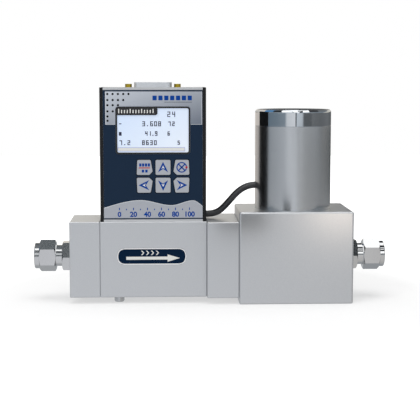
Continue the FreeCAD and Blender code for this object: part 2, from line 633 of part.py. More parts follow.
# Adapter block: as tall as the sensor block, and deeper front to back
adapter_block = block("adapter_block", ADAPTER_FACE, "adapter_length", "adapter_depth")
drill(adapter_block, "YZ_Plane", "0", [("0", "0", "passage_radius")], "adapter_length", True)
seal_groove(adapter_block, "YZ_Plane", "0", "passage_seal_radius", True)
drill(adapter_block, "YZ_Plane", "0", four("screw_side", "screw_rise", "screw_radius + hole_play"),
      "adapter_length", True)
drill(adapter_block, "YZ_Plane", "adapter_length",
      four("screw_side", "screw_rise", "screw_head_radius + hole_play"), "screw_recess")
drill(adapter_block, "YZ_Plane", "adapter_length",
      four("bolt_side", "bolt_rise", "bolt_radius + thread_play"), "bolt_grip + thread_run_out")

# Valve block: stands on the floor, with stepped bores under the can and a port on the right
valve_block = body("valve_block", VALVE_AXIS)
drawing = sketch(valve_block, "YZ_Plane", "-valve_length / 2")
rectangle(drawing, "-valve_depth / 2", "valve_depth / 2", "0", "valve_height")
pad(valve_block, drawing, "valve_length")
round_over(valve_block, "valve_edge", every)
drawing = sketch(valve_block, "XZ_Plane")
flange_seat = "valve_height - flange_thickness"
plenum_floor = flange_seat + " - plenum_depth"
outline(drawing, [
    ("0", "flow_height"),
    ("exit_radius", "flow_height"),
    ("exit_radius", "flow_height + seat_floor"),
    ("seat_radius + seat_play", "flow_height + seat_floor"),
    ("seat_radius + seat_play", "flow_height + chamber_floor"),
    ("chamber_radius", "flow_height + chamber_floor"),
    ("chamber_radius", plenum_floor),
    ("plenum_radius", plenum_floor),
    ("plenum_radius", flange_seat),
    ("flange_radius + seat_play", flange_seat),
    ("flange_radius + seat_play", "valve_height"),
    ("0", "valve_height"),
])
turned(valve_block, drawing, "PartDesign::Groove")
seal_groove(valve_block, "XY_Plane", flange_seat, "flange_seal_radius", False)
drill(valve_block, "XY_Plane", plenum_floor, [("-riser_offset", "0", "riser_radius")],
      plenum_floor + " - flow_height")
drill(valve_block, "YZ_Plane", "-valve_length / 2", [("0", "flow_height", "passage_radius")],
      "valve_length / 2 - riser_offset + passage_radius", True)
drill(valve_block, "YZ_Plane", "valve_length / 2", [("0", "flow_height", "passage_radius")],
      "valve_length / 2 + passage_radius")
drill(valve_block, "YZ_Plane", "valve_length / 2", [("0", "flow_height", "stub_radius + thread_play")],
      "port_depth")
drawing = sketch(valve_block, "YZ_Plane", "-valve_length / 2")
circles(drawing, [("0", "flow_height", "passage_seal_radius - seal_cord - seal_play")])
circles(drawing, [("0", "flow_height", "passage_seal_radius + seal_cord + seal_play")])
pocket(valve_block, drawing, "2 * seal_cord + seal_play", True)
bolt_holes = [("%d * bolt_side" % i, "flow_height + %d * bolt_rise" % j) for i, j in FOUR_WAYS]
drill(valve_block, "YZ_Plane", "-valve_length / 2",
      [spot + ("bolt_radius + hole_play",) for spot in bolt_holes], "valve_length", True)
drill(valve_block, "YZ_Plane", "valve_length / 2",
      [spot + ("bolt_head_radius + hole_play",) for spot in bolt_holes], "bolt_recess")
DIAGONAL = "ring_screw_circle * sqrt(0.5)"
drill(valve_block, "XY_Plane", "valve_height",
      four(DIAGONAL, DIAGONAL, "small_screw_radius + thread_play"), "small_grip + small_run_out")
drill(valve_block, "XY_Plane", "0", four("mount_along / 2", "mount_across / 2", "mount_hole_radius"),
      "mount_hole_depth", True)


def cap_screw(x, y, z, direction, names, length):
    """A socket head screw whose shank runs from under its head at x, y, z along a direction."""
    radius, head_radius, head_height, socket = names
    head = doc.addObject("Part::Cylinder", "screw_head")
    head.setExpression("Radius", cell(head_radius))
    head.setExpression("Height", cell(head_height))
    shank = doc.addObject("Part::Cylinder", "screw_shank")
    shank.setExpression("Radius", cell(radius))
    shank.setExpression("Height", cell(length))
    shank.setExpression("Placement.Base.z", cell("-(" + length + ")"))
    whole = doc.addObject("Part::MultiFuse", "screw_blank")
    whole.Shapes = [head, shank]
    key = doc.addObject("Part::Prism", "screw_socket")
    key.Polygon = 6
    key.setExpression("Circumradius", cell(socket))
    key.setExpression("Height", cell(head_height))
    key.setExpression("Placement.Base.z", cell(head_height + " / 2"))
    screw = doc.addObject("Part::Cut", "screw")
    screw.Base = whole
    screw.Tool = key
    place(screw, x, y, z, [-step for step in direction])
    return screw


def group(label, pieces):
    """Like pieces that share one node and stay separate solids."""
    node = doc.addObject("Part::Compound", label)
    node.Label = label
    node.Links = pieces
    NODES.append(node)
    return node


BLOCK_SCREW = ("screw_radius", "screw_head_radius", "screw_head_height", "screw_socket")
BLOCK_BOLT = ("bolt_radius", "bolt_head_radius", "bolt_head_height", "bolt_socket")
SMALL_SCREW = ("small_screw_radius", "small_head_radius", "small_head_height", "small_socket")

# Screws and bolts that hold the blocks together
group("inlet_block_screws", [
    cap_screw(INLET_FACE + " + screw_recess", "%d * screw_side" % i,
              "flow_height + %d * screw_rise" % j, (1, 0, 0), BLOCK_SCREW,
              "inlet_length - screw_recess + screw_grip") for i, j in FOUR_WAYS])
group("adapter_block_screws", [
    cap_screw(VALVE_FACE + " - screw_recess", "%d * screw_side" % i,
              "flow_height + %d * screw_rise" % j, (-1, 0, 0), BLOCK_SCREW,
              "adapter_length - screw_recess + screw_grip") for i, j in FOUR_WAYS])
group("valve_block_bolts", [
    cap_screw(OUTLET_FACE + " - bolt_recess", "%d * bolt_side" % i,
              "flow_height + %d * bolt_rise" % j, (-1, 0, 0), BLOCK_BOLT,
              "valve_length - bolt_recess + bolt_grip") for i, j in FOUR_WAYS])


def o_ring(label, x, z, radius, direction):
    """An O-ring lying in its groove."""
    ring = doc.addObject("Part::Torus", label)
    ring.Label = label
    ring.setExpression("Radius1", cell(radius))
    ring.setExpression("Radius2", "Sizes.seal_cord")
    place(ring, x, "0", z, direction)
    NODES.append(ring)


o_ring("inlet_o_ring", SENSOR_FACE + " - seal_cord", "flow_height", "inlet_seal_radius", (1, 0, 0))
o_ring("adapter_o_ring", ADAPTER_FACE + " + seal_cord", "flow_height", "passage_seal_radius", (1, 0, 0))
o_ring("valve_o_ring", VALVE_FACE + " + seal_cord", "flow_height", "passage_seal_radius", (1, 0, 0))
o_ring("flange_o_ring", VALVE_AXIS, flange_seat + " - seal_cord", "flange_seal_radius", (0, 0, 1))

# Sintered filter disc in the inlet block
inlet_filter = body("inlet_filter", SENSOR_FACE + " - filter_thickness", "0", "flow_height")
drawing = sketch(inlet_filter, "YZ_Plane")
circles(drawing, [("0", "0", "filter_radius")])
pad(inlet_filter, drawing, "filter_thickness")

# Laminar flow element: a plug with twelve grooves that split the gas into even streams
flow_element = body("laminar_flow_element", SENSOR_FACE + " + element_start", "0", "flow_height")
drawing = sketch(flow_element, "YZ_Plane")
circles(drawing, [("0", "0", "element_radius")])
pad(flow_element, drawing, "element_length")
drawing = sketch(flow_element, "YZ_Plane")
rectangle(drawing, "-element_groove_width / 2", "element_groove_width / 2",
          "element_radius - element_groove_depth", "element_radius + overrun")
groove = pocket(flow_element, drawing, "element_length", True)
doc.recompute()
grooves = flow_element.newObject("PartDesign::PolarPattern", "element_grooves")
grooves.Originals = [groove]
grooves.Axis = (drawing, ["N_Axis"])
grooves.Angle = 360
grooves.Occurrences = 12
flow_element.Tip = grooves

# Two round feet, screwed up into the sensor block
feet = []
for side in (-1, 1):
    foot = loose_body("foot", SENSOR_FACE + " + foot_along", "%d * foot_side" % side)
    drawing = sketch(foot, "XZ_Plane")
    outline(drawing, [
        ("0", "0"),
        ("foot_radius", "0"),
        ("foot_radius", "body_lift"),
        ("foot_stud_radius", "body_lift"),
        ("foot_stud_radius", "body_lift + foot_stud_length"),
        ("0", "body_lift + foot_stud_length"),
    ])
    turned(foot, drawing)
    round_over(foot, "foot_round", at_height(0))
    feet.append(foot)
group("support_feet", feet)

# Flow label, stuck on the sensor block's front
flow_label = body("flow_label", SENSOR_MIDDLE + " + label_shift", "-sensor_depth / 2",
                  "flow_height + label_rise")
drawing = sketch(flow_label, "XZ_Plane")
rectangle(drawing, "-label_width / 2", "label_width / 2", "-label_height / 2", "label_height / 2")
pad(flow_label, drawing, "label_thickness")
round_over(flow_label, "label_corner", along(BACK))


def hexagon(drawing, across, point_up):
    """A hexagon across flats, with a corner up or a corner to each side."""
    far = "(" + across + ") / sqrt(3)"
    half = "(" + across + ") / 2"
    corners = [("0", far), (half, far + " / 2"), (half, "-" + far + " / 2"),
               ("0", "-" + far), ("-" + half, "-" + far + " / 2"), ("-" + half, far + " / 2")]
    if not point_up:
        corners = [(up, across_way) for across_way, up in corners]
    outline(drawing, corners)


def corner_bevel(drawing, end, inward):
    """The triangle that turns the corners off a hexagon's end."""
    flat = "hex_across / 2"
    outline(drawing, [(end, flat), (end, flat + " + 3 * nut_bevel"),
                      (end + inward + " * nut_bevel * sqrt(3)", flat + " + 3 * nut_bevel")])


def fitting(side, face, turn):
    """A tube fitting whose axis runs outwards from a block's face."""
    bore = "tube_radius + tube_play"

    # Body: threaded stub, hexagon, threaded neck with a coned mouth
    piece = body(side + "_fitting_body", face, "0", "flow_height", turn)
    drawing = sketch(piece, "YZ_Plane")
    hexagon(drawing, "hex_across", False)
    pad(piece, drawing, "body_hex_length")
    drawing = sketch(piece, "XZ_Plane")
    corner_bevel(drawing, "body_hex_length", " - 1")
    turned(piece, drawing, "PartDesign::Groove", "H_Axis")
    drawing = sketch(piece, "XZ_Plane")
    outline(drawing, [("-stub_length", "0"), ("-stub_length", "stub_radius - stub_bevel"),
                      ("-stub_length + stub_bevel", "stub_radius"), ("0", "stub_radius"),
                      ("body_hex_length / 2", "neck_radius"), ("neck_end - neck_bevel", "neck_radius"),
                      ("neck_end", "neck_radius - neck_bevel"), ("neck_end", "0")])
    turned(piece, drawing, "PartDesign::Revolution", "H_Axis")
    drawing = sketch(piece, "XZ_Plane")
    outline(drawing, [("-stub_length", "0"), ("-stub_length", "passage_radius"),
                      ("tube_stop", "passage_radius"), ("tube_stop", bore),
                      ("neck_end - mouth_depth", bore), ("neck_end", bore + " + mouth_flare"),
                      ("neck_end", "0")])
    turned(piece, drawing, "PartDesign::Groove", "H_Axis")

    # Front ferrule: its cone lies in the mouth, its back takes the back ferrule
    nose = "neck_end - mouth_depth + nose_gap"
    piece = body(side + "_front_ferrule", face, "0", "flow_height", turn)
    drawing = sketch(piece, "XZ_Plane")
    outline(drawing, [(nose, bore), (nose, bore + " + nose_edge"),
                      ("neck_end", bore + " + mouth_flare - seat_play"),
                      ("front_ferrule_end", bore + " + ferrule_wall"), ("front_ferrule_end", bore)])
    turned(piece, drawing, "PartDesign::Revolution", "H_Axis")

    # Back ferrule, between the front ferrule and the nut's shoulder
    back_start = "front_ferrule_end + seat_play"
    back_end = back_start + " + back_ferrule_length"
    piece = body(side + "_back_ferrule", face, "0", "flow_height", turn)
    drawing = sketch(piece, "XZ_Plane")
    outline(drawing, [(back_start, bore), (back_start, bore + " + ferrule_wall / 2"),
                      (back_start + " + back_ferrule_length / 2", bore + " + ferrule_wall"),
                      (back_end, bore + " + ferrule_wall"), (back_end, bore)])
    turned(piece, drawing, "PartDesign::Revolution", "H_Axis")

    # Nut: beveled hexagon and a round end, threaded over the neck
    piece = body(side + "_fitting_nut", face, "0", "flow_height", turn)
    drawing = sketch(piece, "YZ_Plane", "nut_start")
    hexagon(drawing, "hex_across", True)
    pad(piece, drawing, "nut_hex_length")
    drawing = sketch(piece, "XZ_Plane")
    corner_bevel(drawing, "nut_start", " + 1")
    corner_bevel(drawing, "nut_hex_end", " - 1")
    turned(piece, drawing, "PartDesign::Groove", "H_Axis")
    drawing = sketch(piece, "XZ_Plane")
    outline(drawing, [("nut_hex_end - overrun", "0"), ("nut_hex_end - overrun", "nut_collar_radius"),
                      ("nut_end - collar_bevel", "nut_collar_radius"),
                      ("nut_end", "nut_collar_radius - collar_bevel"), ("nut_end", "0")])
    turned(piece, drawing, "PartDesign::Revolution", "H_Axis")
    shoulder = back_end + " + seat_play"
    wide = "neck_radius + thread_play"
    drawing = sketch(piece, "XZ_Plane")
    outline(drawing, [("nut_start", "0"), ("nut_start", wide), (shoulder, wide),
                      (shoulder, "tube_radius + 2 * tube_play"),
                      ("nut_end", "tube_radius + 2 * tube_play"), ("nut_end", "0")])
    turned(piece, drawing, "PartDesign::Groove", "H_Axis")


fitting("inlet", INLET_FACE, 180)
fitting("outlet", OUTLET_FACE, 0)

# Valve seat: a screwed insert whose nose carries the lip
SHUT = "(flow_height + seat_lip + lift_gap)"
valve_seat = body("valve_seat", VALVE_AXIS, "0", "flow_height + seat_floor")
drawing = sketch(valve_seat, "XZ_Plane")
lip = "seat_lip - seat_floor"
outline(drawing, [
    ("orifice_radius", "0"),
    ("seat_radius", "0"),
    ("seat_radius", "seat_body_height"),
    ("seat_nose_radius", "seat_body_height"),
    ("seat_nose_radius", lip + " - seat_taper"),
    ("orifice_radius + lip_width", lip),
    ("orifice_radius", lip),
])
turned(valve_seat, drawing)

# Plunger: soft iron, shut at rest, with gas slots along it and a bore for its spring
plunger = body("valve_plunger", VALVE_AXIS, "0", SHUT)
drawing = sketch(plunger, "XZ_Plane")
outline(drawing, [
    ("0", "seat_seal_thickness"),
    ("seat_seal_radius + seat_play", "seat_seal_thickness"),
    ("seat_seal_radius + seat_play", "0"),
    ("plunger_radius - plunger_bevel", "0"),
    ("plunger_radius", "plunger_bevel"),
    ("plunger_radius", "plunger_length - plunger_top_bevel"),
    ("plunger_radius - plunger_top_bevel", "plunger_length"),
    ("spring_pocket_radius", "plunger_length"),
    ("spring_pocket_radius", "plunger_length - spring_pocket_depth"),
    ("0", "plunger_length - spring_pocket_depth"),
])
turned(plunger, drawing)
drawing = sketch(plunger, "XY_Plane", "plunger_length")
for side in (-1, 1):
    rectangle(drawing, "-plunger_slot / 2", "plunger_slot / 2",
              "%d * (plunger_radius - plunger_slot)" % side,
              "%d * (plunger_radius + overrun)" % side)
pocket(plunger, drawing, "plunger_length")

# Elastomer disc in the plunger's foot, flush with it
seat_seal = body("seat_seal", VALVE_AXIS, "0", SHUT)
drawing = sketch(seat_seal, "XY_Plane")
circles(drawing, [("0", "0", "seat_seal_radius")])
pad(seat_seal, drawing, "seat_seal_thickness - seat_play")

# Guide tube: its flange seals in the block's top and its tube carries the coil
guide_tube = body("guide_tube", VALVE_AXIS, "0", "valve_height")
drawing = sketch(guide_tube, "XZ_Plane")
outline(drawing, [
    ("guide_bore", "-flange_thickness"),
    ("flange_radius", "-flange_thickness"),
    ("flange_radius", "0"),
    ("guide_radius", "0"),
    ("guide_radius", "guide_length"),
    ("guide_bore", "guide_length"),
])
turned(guide_tube, drawing)

# Core: closes the guide tube, stops the plunger and holds the coil down by its thread
CORE_FOOT = "(" + SHUT + " + plunger_length + stroke + core_gap)"
GUIDE_TOP = "(valve_height + guide_length)"
pole_core = body("pole_core", VALVE_AXIS, "0", CORE_FOOT)
core_plug = GUIDE_TOP + " - " + CORE_FOOT
drawing = sketch(pole_core, "XZ_Plane")
outline(drawing, [
    ("0", "0"),
    ("guide_bore - thread_play - core_bevel", "0"),
    ("guide_bore - thread_play", "core_bevel"),
    ("guide_bore - thread_play", core_plug),
    ("core_stud_radius", core_plug),
    ("core_stud_radius", core_plug + " + core_stud_length"),
    ("0", core_plug + " + core_stud_length"),
])
turned(pole_core, drawing)

# Ring under the coil, screwed to the block, that clamps the flange and holds the can
can_base_ring = body("can_base_ring", VALVE_AXIS, "0", "valve_height")
drawing = sketch(can_base_ring, "XY_Plane")
circles(drawing, [("0", "0", "spigot_radius"), ("0", "0", "guide_radius + seat_play")])
circles(drawing, four(DIAGONAL, DIAGONAL, "small_screw_radius + hole_play"))
pad(can_base_ring, drawing, "ring_thickness")
drill(can_base_ring, "XY_Plane", "ring_thickness",
      four(DIAGONAL, DIAGONAL, "small_head_radius + hole_play"), "small_head_height + seat_play")
group("base_ring_screws", [
    cap_screw(VALVE_AXIS + " + %d * %s" % (i, DIAGONAL), "%d * %s" % (j, DIAGONAL),
              "valve_height + ring_thickness - small_head_height - seat_play", (0, 0, -1),
              SMALL_SCREW, "ring_thickness - small_head_height - seat_play + small_grip")
    for i, j in FOUR_WAYS])

# Coil: moulded bobbin and its winding
COIL_FOOT = "valve_height + ring_thickness + seat_play"
coil_bobbin = body("coil_bobbin", VALVE_AXIS, "0", COIL_FOOT)
drawing = sketch(coil_bobbin, "XZ_Plane")
outline(drawing, [
    ("bobbin_bore", "0"),
    ("bobbin_radius", "0"),
    ("bobbin_radius", "bobbin_flange"),
    ("bobbin_bore + bobbin_tube", "bobbin_flange"),
    ("bobbin_bore + bobbin_tube", "bobbin_length - bobbin_flange"),
    ("bobbin_radius", "bobbin_length - bobbin_flange"),
    ("bobbin_radius", "bobbin_length"),
    ("bobbin_bore", "bobbin_length"),
])
turned(coil_bobbin, drawing)
coil_winding = body("coil_winding", VALVE_AXIS, "0", COIL_FOOT + " + bobbin_flange + seat_play")
drawing = sketch(coil_winding, "XY_Plane")
circles(drawing, [("0", "0", "bobbin_bore + bobbin_tube + seat_play"), ("0", "0", "winding_radius")])
pad(coil_winding, drawing, "bobbin_length - 2 * bobbin_flange - 2 * seat_play")

# Steel plate on the coil and the nut that pulls it down
coil_top_plate = body("coil_top_plate", VALVE_AXIS, "0", GUIDE_TOP)
drawing = sketch(coil_top_plate, "XY_Plane")
circles(drawing, [("0", "0", "top_plate_radius"), ("0", "0", "core_stud_radius + hole_play")])
pad(coil_top_plate, drawing, "top_plate_thickness")
coil_nut = body("coil_nut", VALVE_AXIS, "0", GUIDE_TOP + " + top_plate_thickness")
drawing = sketch(coil_nut, "XY_Plane")
hexagon(drawing, "coil_nut_across", True)
circles(drawing, [("0", "0", "core_stud_radius + thread_play")])
pad(coil_nut, drawing, "coil_nut_height")

# Can: turned steel tube with a hole for the lead's bush
valve_can = body("valve_can", VALVE_AXIS, "0", "valve_height")
drawing = sketch(valve_can, "XZ_Plane")
outline(drawing, [
    ("can_radius - can_wall", "0"),
    ("can_radius", "0"),
    ("can_radius", "can_height - cap_seam"),
    ("can_radius - cap_seam", "can_height"),
    ("can_radius - can_wall", "can_height"),
])
turned(valve_can, drawing)
drill(valve_can, "YZ_Plane", "-can_radius - overrun", [("0", "cable_entry_rise", "bush_radius")],
      "can_wall + 2 * overrun", True)

# Cap: polished, with a spigot down into the can
can_cap = body("can_cap", VALVE_AXIS, "0", "valve_height + can_height")
drawing = sketch(can_cap, "XZ_Plane")
outline(drawing, [
    ("spigot_radius - can_wall", "-cap_spigot"),
    ("spigot_radius", "-cap_spigot"),
    ("spigot_radius", "0"),
    ("can_radius - cap_seam", "0"),
    ("can_radius", "cap_seam"),
    ("can_radius", "cap_height"),
    ("0", "cap_height"),
    ("0", "cap_height - cap_top"),
    ("spigot_radius - can_wall", "cap_height - cap_top"),
])
turned(can_cap, drawing)
round_over(can_cap, "cap_round", at_height(size("cap_height")))

# Housing shell: a black U of three walls with a screw boss in each corner
HALF_WIDTH = "housing_width / 2"
HALF_DEPTH = "housing_depth / 2"
BOSS_FRONT = "(-panel_back + seat_play)"
housing_shell = body("housing_shell", SENSOR_MIDDLE, "0", SENSOR_TOP)
drawing = sketch(housing_shell, "XY_Plane")
outline(drawing, [
    ("-" + HALF_WIDTH, "-" + HALF_DEPTH),
    ("-inner_half", "-" + HALF_DEPTH),
    ("-inner_half", "rear_inner"),
    ("inner_half", "rear_inner"),
    ("inner_half", "-" + HALF_DEPTH),
    (HALF_WIDTH, "-" + HALF_DEPTH),
    (HALF_WIDTH, HALF_DEPTH),
    ("-" + HALF_WIDTH, HALF_DEPTH),
])
pad(housing_shell, drawing, "housing_height")
rear_y = size("housing_depth") / 2
outer_x = size("housing_width") / 2


def upright_at(x, y):
    """A test for upright edges at x and y, on either side."""
    def wanted(edge):
        spot = edge.CenterOfMass
        return along(UP)(edge) and abs(abs(spot.x) - x) < 1e-4 and abs(spot.y - y) < 1e-4
    return wanted


round_over(housing_shell, "rear_round", upright_at(outer_x, rear_y))
round_over(housing_shell, "front_round", upright_at(outer_x, -rear_y))
drawing = sketch(housing_shell, "XY_Plane", "plate_thickness + seat_play")
BOSSES = []
for side in (-1, 1):
    middle = "%d * (inner_half - boss_size / 2)" % side
    BOSSES.append((middle, BOSS_FRONT + " + boss_size / 2"))
    BOSSES.append((middle, "rear_inner - boss_size / 2"))
    inner = "%d * (inner_half - boss_size)" % side
    outer = "%d * (inner_half + housing_wall / 2)" % side
    rectangle(drawing, inner, outer, BOSS_FRONT, BOSS_FRONT + " + boss_size")
    rectangle(drawing, inner, outer, "rear_inner - boss_size", "rear_inner + housing_wall / 2")
circles(drawing, [(x, y, "small_screw_radius + thread_play") for x, y in BOSSES])
pad(housing_shell, drawing, "housing_height - 2 * plate_thickness - 2 * seat_play")
drill(housing_shell, "YZ_Plane", HALF_WIDTH, [("0", "cable_exit_rise", "bush_radius")], "housing_wall")
drawing = sketch(housing_shell, "YZ_Plane", HALF_WIDTH)
rectangle(drawing, "-bush_radius", "bush_radius", "-overrun", "cable_exit_rise")
pocket(housing_shell, drawing, "housing_wall")


def inside_plate(label, height):
    """A plate between the shell's walls, flush with its front edges."""
    piece = body(label, SENSOR_MIDDLE, "0", height)
    drawing = sketch(piece, "XY_Plane")
    rectangle(drawing, "-inner_half + seat_play", "inner_half - seat_play",
              "-" + HALF_DEPTH, "rear_inner - seat_play")
    return piece, drawing


# Base plate, screwed to the sensor block round the flow sensor
base_plate, drawing = inside_plate("base_plate", SENSOR_TOP)
rectangle(drawing, "-sensor_base_width / 2 - seat_play", "sensor_base_width / 2 + seat_play",
          "-sensor_base_depth / 2 - seat_play", "sensor_base_depth / 2 + seat_play")
circles(drawing, four("base_screw_along", "base_screw_side", "small_screw_radius + hole_play"))
pad(base_plate, drawing, "plate_thickness")
group("base_plate_screws", [
    cap_screw(SENSOR_MIDDLE + " + %d * base_screw_along" % i, "%d * base_screw_side" % j,
              SENSOR_TOP + " + plate_thickness", (0, 0, -1), SMALL_SCREW,
              "plate_thickness + small_grip") for i, j in FOUR_WAYS])


def d_outline(drawing, inset):
    """The connector's outline: slanted ends, wide side to the back, moved in by an inset."""
    half = "(dsub_width / 2 - (" + inset + "))"
    deep = "(dsub_depth / 2 - (" + inset + "))"
    outline(drawing, [
        ("-" + half + " + 2 * dsub_slant", "-" + deep),
        (half + " - 2 * dsub_slant", "-" + deep),
        (half, deep),
        ("-" + half, deep),
    ])


def connector_corners(inset):
    """A test for the upright corner edges of the connector's outline, moved in by an inset."""
    def wanted(edge):
        spot = edge.CenterOfMass
        on_side = abs(abs(spot.y) - size("dsub_depth") / 2 + inset) < 1e-3
        return along(UP)(edge) and on_side and abs(spot.x) < size("post_pitch") / 2
    return wanted


# Top cover, with countersunk corner screws and an opening for the connector
COVER_FOOT = SENSOR_TOP + " + housing_height - plate_thickness"
top_cover, drawing = inside_plate("top_cover", COVER_FOOT)
d_outline(drawing, "-seat_play")
circles(drawing, [(x, y, "small_screw_radius + hole_play") for x, y in BOSSES])
circles(drawing, [("%d * post_pitch / 2" % i, "0", "post_shank_radius + hole_play") for i in (-1, 1)])
pad(top_cover, drawing, "plate_thickness")
round_over(top_cover, "dsub_corner + seat_play", connector_corners(-size("seat_play")))
screw_hole = size("small_screw_radius") + size("hole_play")
bevel(top_cover, "cover_sink", at_height(size("plate_thickness"), screw_hole))


def countersunk_screw(x, y, z):
    """A countersunk screw with its flat top at x, y, z."""
    cone = doc.addObject("Part::Cone", "screw_cone")
    cone.setExpression("Radius1", cell("small_screw_radius"))
    cone.setExpression("Radius2", cell("small_screw_radius + cover_sink"))
    cone.setExpression("Height", cell("cover_sink"))
    cone.setExpression("Placement.Base.z", cell("-cover_sink"))
    shank = doc.addObject("Part::Cylinder", "screw_shank")
    shank.setExpression("Radius", cell("small_screw_radius"))
    shank.setExpression("Height", cell("small_grip"))
    shank.setExpression("Placement.Base.z", cell("-cover_sink - small_grip"))
    whole = doc.addObject("Part::MultiFuse", "screw_blank")
    whole.Shapes = [cone, shank]
    key = doc.addObject("Part::Prism", "screw_socket")
    key.Polygon = 6
    key.setExpression("Circumradius", cell("small_socket"))
    key.setExpression("Height", cell("cover_sink"))
    key.setExpression("Placement.Base.z", cell("-cover_sink"))
    screw = doc.addObject("Part::Cut", "screw")
    screw.Base = whole
    screw.Tool = key
    place(screw, x, y, z)
    return screw


group("cover_screws", [
    countersunk_screw(SENSOR_MIDDLE + " + " + x, y, SENSOR_TOP + " + housing_height")
    for x, y in BOSSES])

# Front panel: metal plate behind the overlay, open for the display and the snap domes
KEY_COLUMNS = [("key_middle - key_pitch", -1), ("key_middle", 0), ("key_middle + key_pitch", 1)]
KEY_ROWS = [("key_rise + key_row_pitch / 2", 1), ("key_rise - key_row_pitch / 2", -1)]
DOMES = [(x, z) for z, row in KEY_ROWS for x, column in KEY_COLUMNS]
PANEL_LOW = "plate_thickness + seat_play"
PANEL_HIGH = "housing_height - plate_thickness - seat_play"


def display_opening(drawing, margin):
    """The display's rectangle with a margin round it."""
    rectangle(drawing, "-display_width / 2 - " + margin, "display_width / 2 + " + margin,
              "display_rise - display_height / 2 - " + margin,
              "display_rise + display_height / 2 + " + margin)


def display_corners(inset):
    """A test for edges along Y at the corners of the display's outline, moved in by an inset."""
    def wanted(edge):
        spot = edge.CenterOfMass
        off_side = abs(spot.x) - size("display_width") / 2 + inset
        off_end = abs(spot.z - size("display_rise")) - size("display_height") / 2 + inset
        return along(BACK)(edge) and abs(off_side) < 1e-3 and abs(off_end) < 1e-3
    return wanted


front_panel = body("front_panel", SENSOR_MIDDLE, "0", SENSOR_TOP)
drawing = sketch(front_panel, "XZ_Plane", "panel_back")
rectangle(drawing, "-inner_half + seat_play", "inner_half - seat_play", PANEL_LOW, PANEL_HIGH)
display_opening(drawing, "seat_play")
circles(drawing, [(x, z, "dome_hole_radius") for x, z in DOMES])
pad(front_panel, drawing, "panel_thickness")
round_over(front_panel, "display_corner + seat_play", display_corners(-size("seat_play")))

# Front overlay: one printed film with six embossed keys
overlay_back = "panel_back + panel_thickness"
front_overlay = body("front_overlay", SENSOR_MIDDLE, "0", SENSOR_TOP)
drawing = sketch(front_overlay, "XZ_Plane", overlay_back)
rectangle(drawing, "-inner_half + overlay_play", "inner_half - overlay_play",
          PANEL_LOW + " + overlay_play", PANEL_HIGH + " - overlay_play")
display_opening(drawing, "seat_play")
pad(front_overlay, drawing, "overlay_thickness")
round_over(front_overlay, "display_corner + seat_play", display_corners(-size("seat_play")))
drawing = sketch(front_overlay, "XZ_Plane", overlay_back + " + overlay_thickness")
for z, row in KEY_ROWS:
    for x, column in KEY_COLUMNS:
        high = z + " + %d * key_height / 2" % row
        low = z + " - %d * key_height / 2" % row
        if column == 0:
            rectangle(drawing, x + " - key_width / 2 + key_slant / 4", x + " + key_width / 2 - key_slant / 4",
                      low, high)
            continue
        near = x + " - %d * key_width / 2" % column
        far = x + " + %d * key_width / 2" % column
        outline(drawing, [
            (near + " + %d * key_slant" % column, high),
            (far + " - %d * key_slant / 3" % column, high),
            (far, low),
            (near + " + %d * key_clip" % column, low),
            (near, low + " + %d * key_clip" % row),
        ])
pad(front_overlay, drawing, "key_emboss")
key_front = size("housing_depth") / 2 + size("key_emboss")
round_over(front_overlay, "key_corner",
           lambda edge: along(BACK)(edge) and abs(edge.BoundBox.YMin + key_front) < 1e-4)

# Display frame: black rim round the screen, with a dark tab over its top left
display_frame = body("display_frame", SENSOR_MIDDLE, "0", SENSOR_TOP)
drawing = sketch(display_frame, "XZ_Plane", "panel_back")
display_opening(drawing, "0")
display_opening(drawing, "(-display_rim)")
pad(display_frame, drawing, "frame_depth")
round_over(display_frame, "display_corner", display_corners(0))
round_over(display_frame, "display_corner - display_rim", display_corners(size("display_rim")))
drawing = sketch(display_frame, "XZ_Plane", "panel_back + frame_depth - tab_thickness")
rectangle(drawing, "tab_left", "tab_left + tab_width", "tab_high - tab_height", "tab_high")
pad(display_frame, drawing, "tab_thickness")


def tab_end(edge):
    """A test for the edge along Y at the tab's lower right corner."""
    spot = edge.CenterOfMass
    off_side = spot.x - size("tab_left") - size("tab_width")
    off_end = spot.z - size("tab_high") + size("tab_height")
    return along(BACK)(edge) and abs(off_side) < 1e-3 and abs(off_end) < 1e-3


round_over(display_frame, "tab_corner", tab_end)

# Display module: a back body and the glass that stands through the frame
display_module = body("display_module", SENSOR_MIDDLE, "0", SENSOR_TOP)
drawing = sketch(display_module, "XZ_Plane", "panel_back - seat_play - module_thickness")
rectangle(drawing, "-module_width / 2", "module_width / 2",
          "display_rise - module_height / 2", "display_rise + module_height / 2")
pad(display_module, drawing, "module_thickness")
drawing = sketch(display_module, "XZ_Plane", "panel_back - seat_play")
display_opening(drawing, "(-display_rim - seat_play)")
pad(display_module, drawing, "frame_depth + seat_play - screen_recess")
round_over(display_module, "display_corner - display_rim - seat_play",
           display_corners(size("display_rim") + size("seat_play")))

# Keypad board: thin board behind the panel with a snap dome under each key
keypad_board = body("keypad_board", SENSOR_MIDDLE, "0", SENSOR_TOP)
drawing = sketch(keypad_board, "XZ_Plane", "panel_back - seat_play - keypad_thickness")
rectangle(drawing, "key_middle - keypad_width / 2", "key_middle + keypad_width / 2",
          "key_rise - keypad_height / 2", "key_rise + keypad_height / 2")
pad(keypad_board, drawing, "keypad_thickness")
drawing = sketch(keypad_board, "XZ_Plane", "panel_back - seat_play")
circles(drawing, [(x, z, "dome_radius") for x, z in DOMES])
pad(keypad_board, drawing, "panel_thickness")

